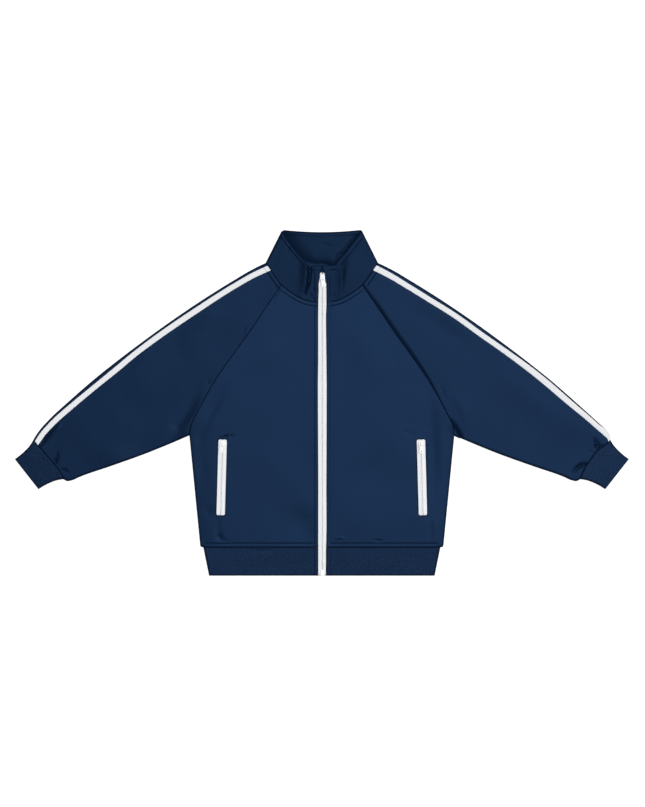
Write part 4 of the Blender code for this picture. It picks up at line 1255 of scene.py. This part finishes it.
def make_pull(prefix, place, axis_y):
    """The pull tab: a flat cast tab with an eye for the bridge and a small round hole."""
    curve = bpy.data.curves.new(prefix + "_pull", "CURVE")
    curve.dimensions = "2D"
    curve.fill_mode = "BOTH"
    curve.extrude = PULL_HALF_WALL
    curve.bevel_depth = PULL_ROUNDING
    curve.bevel_resolution = 2
    turns = np.linspace(0, 2 * math.pi, 21)[:-1]
    radius = PULL_HOLE_RADIUS
    hole = [(radius * math.cos(turn), radius * math.sin(turn) + PULL_HOLE_Y) for turn in turns]
    half = [tuple(p) for p in smooth(PULL_HALF, 0.5)]
    for outline in (both_halves(half), PULL_EYE, hole):
        spline = curve.splines.new("POLY")
        spline.points.add(len(outline) - 1)
        for point, (x, y) in zip(spline.points, outline):
            point.co = (x, y, 0.0, 1.0)
        spline.use_cyclic_u = True
    pull = grown(f"{prefix}_pull_tab", curve, pull_tree, {"Material": white_paint})
    rest = Matrix.Rotation(PULL_LEAN[prefix], 4, "Z") @ Matrix.Rotation(PULL_TILT, 4, "X")
    at_axis = Matrix.Translation((0, axis_y * MM, PULL_AXIS_Z * MM))
    pull.data.transform(place @ at_axis @ rest @ Matrix.Scale(MM, 4))
    return pull


pull_tree, pull_given, pull_out = new_group(
    "pull tab", "GeometryNodeTree",
    {"Geometry": "Geometry", "Material": "Material"}, {"Geometry": "Geometry"},
)
pull_inputs = {label: pull_given[label] for label in ("Geometry", "Material")}
pull_painted = made(pull_tree, "GeometryNodeSetMaterial", pull_inputs)
pull_tree.links.new(pull_painted, pull_out["Geometry"])
coils = coil_tree()
zip_tape = woven_material("white zip tape", (0.80, 0.81, 0.83))

pocket_zip = (POCKET_TAPE_HALF, (-4.0, POCKET_LENGTH + 3), 0.9, POCKET_LENGTH - POCKET_SLIDER_DROP)
ZIPS = {
    # of each zip: its tape's half width, the ends of its tape, the foot of its coil, its slider
    "front_zip": (FRONT_TAPE_HALF, (FRONT_ZIP_FOOT, FRONT_ZIP_TOP), ZIP_BOX_TOP + 0.4, FRONT_SLIDER_Y),
    "right_pocket_zip": pocket_zip,
    "left_pocket_zip": pocket_zip,
}
for prefix, (tape_half, (foot, top), coil_foot, slider_y) in ZIPS.items():
    place = zip_place(prefix)
    xs = (*TAPE_COLUMNS, tape_half)
    count = len(xs)
    rows = np.linspace(foot, top, int((top - foot) / TAPE_ROW))
    for side, name in SIDES:
        grid = np.array([[side * x, y] for y in rows for x in xs])
        faces = []
        for r in range(len(rows) - 1):
            for c in range(count - 1):
                a = r * count + c
                faces += [(a, a + 1, a + count + 1), (a, a + count + 1, a + count)]
        bead = BEAD_HEIGHT * np.exp(-(((np.abs(grid[:, 0]) - BEAD_X) / BEAD_WIDTH) ** 2))
        layers = [(grid, TAPE_LEVEL + bead, np.array(faces)[:, ::side], True)]
        cloth(
            f"{prefix}_woven_tape_{name}", f"{prefix}_tape_{name}", layers, TAPE_WALL, zip_tape,
            moved=np.array,
            place=place @ Matrix.Translation((0, HALF_LENGTH * MM, 0)),
        )
    values = {
        "Turns": int((slider_y + 2.0 - coil_foot) / COIL_PITCH), "Pitch": COIL_PITCH * MM,
        "Foot": (coil_foot + 0.6) * MM, "Level": COIL_CENTRE_Z * MM, "Material": white_coil,
    }
    coil = grown(f"{prefix}_coil", bpy.data.meshes.new("empty"), coils, values)
    coil.data.transform(place)
    belongs(coil, f"{prefix}_teeth")
    belongs(make_slider(prefix, place, slider_y), f"{prefix}_slider")
    pull = make_pull(prefix, place, slider_y)
    belongs(pull, f"{prefix}_pull", prefix.replace("_zip", "") + "_pull")

box_form = bmesh.new()
box_plan = rounded_box(ZIP_BOX_HALF, FRONT_ZIP_FOOT, ZIP_BOX_TOP, ZIP_BOX_CORNER)
slab(box_form, box_plan, *ZIP_BOX_Z)
zip_box = hard_piece("front_zip_pin_box", box_form, zip_place("front_zip"), white_coil, 0.3)
belongs(zip_box, "front_zip_box")


# ---------------------------------------------------------------- topstitching
# Navy thread holds the turned-under edges flat: along the hem, the neck, both sides of the zip,
# round the pockets and along the collar. White thread holds the stripes.

STITCH_PITCH = 2.7
HEM_ROW_END_X = 193.0
FRONT_ROW_TOP = 437.0
COLLAR_ROW_FOOT, COLLAR_ROW_TOP = 440.5, 488.0
SLEEVE_ROW_LIFT = 0.7


def stitch_tree():
    """One stitch after another along a curve, each a short rounded stroke of thread."""
    tree, given, out = new_group(
        "topstitching", "GeometryNodeTree",
        {
            "Geometry": "Geometry", "Pitch": 0.0027, "Length": 0.0021, "Thickness": 0.00045,
            "Material": "Material",
        },
        {"Geometry": "Geometry"},
    )
    thick = given["Thickness"]
    pitched = {"Curve": given["Geometry"], "Length": given["Pitch"]}
    even = made(tree, "GeometryNodeResampleCurve", pitched, mode="LENGTH")
    stroke = made(tree, "GeometryNodeMeshUVSphere", {"Segments": 6, "Rings": 5, "Radius": 0.5})
    tangent = made(tree, "GeometryNodeInputTangent")
    turn = made(tree, "FunctionNodeAlignRotationToVector", {"Vector": tangent}, axis="Z")
    size = made(tree, "ShaderNodeCombineXYZ", {"X": thick, "Y": thick, "Z": given["Length"]})
    inputs = {"Points": even, "Instance": stroke, "Rotation": turn, "Scale": size}
    finish_group(tree, made(tree, "GeometryNodeInstanceOnPoints", inputs), given, out)
    return tree


def stitched_rows(name, rows, material):
    """Stitches along rows of points, as one piece on the jacket."""
    curve = bpy.data.curves.new(name, "CURVE")
    curve.dimensions = "3D"
    for row in rows:
        spline = curve.splines.new("POLY")
        spline.points.add(len(row) - 1)
        spline.points.foreach_set("co", np.column_stack((metres(row), np.ones(len(row)))).ravel())
    piece = grown(name, curve, stitches, {"Material": material, "Pitch": STITCH_PITCH * MM})
    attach(piece, "jacket")


def on_surface(line, height, side, lift=0.1):
    """A line on one side's cloth, raised from its plan to the cloth's own height."""
    plan = line * (side, 1)
    return np.column_stack((plan, height(plan, side) + lift))


stitches = stitch_tree()
navy_thread = knit_material("navy thread", (0.006, 0.018, 0.050), 0.0006, 0.00005)
navy_rows = []
white_rows = []
for side in (1, -1):
    inset = ZIP_EDGE_X + FACING[side]
    collar_inset = ZIP_EDGE_X + COLLAR_FACING[side]
    hem_row = smooth(((ZIP_EDGE_X + 1.5, HEM_Y + TOPSTITCH), (HEM_ROW_END_X, HEM_Y + TOPSTITCH)))
    front_row = smooth(((inset, HEM_Y + 1), (inset, FRONT_ROW_TOP)))
    band_row = smooth(((inset, 1.5), (inset, BAND_HEAD_Y - 1)))
    collar_row = smooth(((collar_inset, COLLAR_ROW_FOOT), (collar_inset, COLLAR_ROW_TOP)))
    roll_row = shifted(collar_top[side], -COLLAR_STITCH[side])[:-8]
    navy_rows += [
        on_surface(hem_row, front_height, side),
        on_surface(shifted(front_neck, -TOPSTITCH)[2:-1], front_height, side),
        on_surface(shifted(sleeve_neck, -TOPSTITCH)[4:-1], sleeve_height, side, SLEEVE_ROW_LIFT),
        on_surface(front_row, front_height, side),
        on_surface(band_row, band_height, side),
        on_surface(collar_row, collar_height, side),
        on_surface(roll_row[roll_row[:, 0] > ROLL_END[side]], collar_height, side),
        on_surface(pocket_slot(side, POCKET_STITCH) * (side, 1), front_height, side),
    ]
    for line, inward in zip(stripe_edges(side), (-0.9, 0.9)):
        row = shifted(line, inward)[5:-5]
        white_rows.append(on_surface(row, sleeve_height, side, STRIPE_RISE + 0.05))
stitched_rows("navy_topstitching", navy_rows, navy_thread)
stitched_rows("white_topstitching", white_rows, white_tape)


# ---------------------------------------------------------------- floor, lights, camera
# The jacket lies on a pale table in a light that is soft from all round, and a little stronger
# from the upper right. The camera looks straight down on it.

PHOTO_WIDTH, PHOTO_HEIGHT = 645, 807
MM_PER_PIXEL = 1.6
CENTRE_LINE_PIXEL = 321.85
ORIGIN_PIXEL_Y = 403.3
SENSOR_WIDTH, FOCAL_LENGTH = 36.0, 85.0
WHITE_LIGHT = (1.0, 1.0, 1.0, 1.0)

floor_mesh = bpy.data.meshes.new("floor")
floor_form = bmesh.new()
bmesh.ops.create_grid(floor_form, x_segments=8, y_segments=8, size=12.0)
floor_form.to_mesh(floor_mesh)
floor_form.free()
floor = placed("floor", floor_mesh)
floor.location.z = -0.0006
pale, pale_tree, pale_shader = new_material("pale table", {
    "Base Color": (0.3, 0.3, 0.3, 1.0), "Roughness": 0.9, "Specular IOR Level": 0.0,
    "Emission Color": WHITE_LIGHT,
})
seen = add_node(pale_tree, "ShaderNodeLightPath").outputs["Is Camera Ray"]
pale_tree.links.new(maths(pale_tree, "MULTIPLY_ADD", seen, 0.8, 0.05), pale_shader["Emission Strength"])
floor_mesh.materials.append(pale)

world = bpy.data.worlds.new("studio")
world.use_nodes = True
background = world.node_tree.nodes["Background"].inputs
background["Color"].default_value = WHITE_LIGHT
background["Strength"].default_value = 0.2
bpy.context.scene.world = world
key = bpy.data.lights.new("key", "SUN")
key.energy = 2.9
key.angle = math.radians(40)
placed("key", key).rotation_euler = Vector((0.17, 0.15, 1.0)).to_track_quat("Z", "Y").to_euler()

lens = bpy.data.cameras.new("camera")
lens.sensor_width = SENSOR_WIDTH
lens.lens = FOCAL_LENGTH
camera = placed("camera", lens)
camera.location = (
    (PHOTO_WIDTH / 2 - CENTRE_LINE_PIXEL) * MM_PER_PIXEL * MM,
    (ORIGIN_PIXEL_Y - PHOTO_HEIGHT / 2) * MM_PER_PIXEL * MM,
    (PHOTO_HEIGHT * MM_PER_PIXEL * FOCAL_LENGTH / SENSOR_WIDTH + BODY_PILE / 2) * MM,
)
bpy.context.scene.camera = camera
bpy.context.scene.view_settings.view_transform = "Standard"
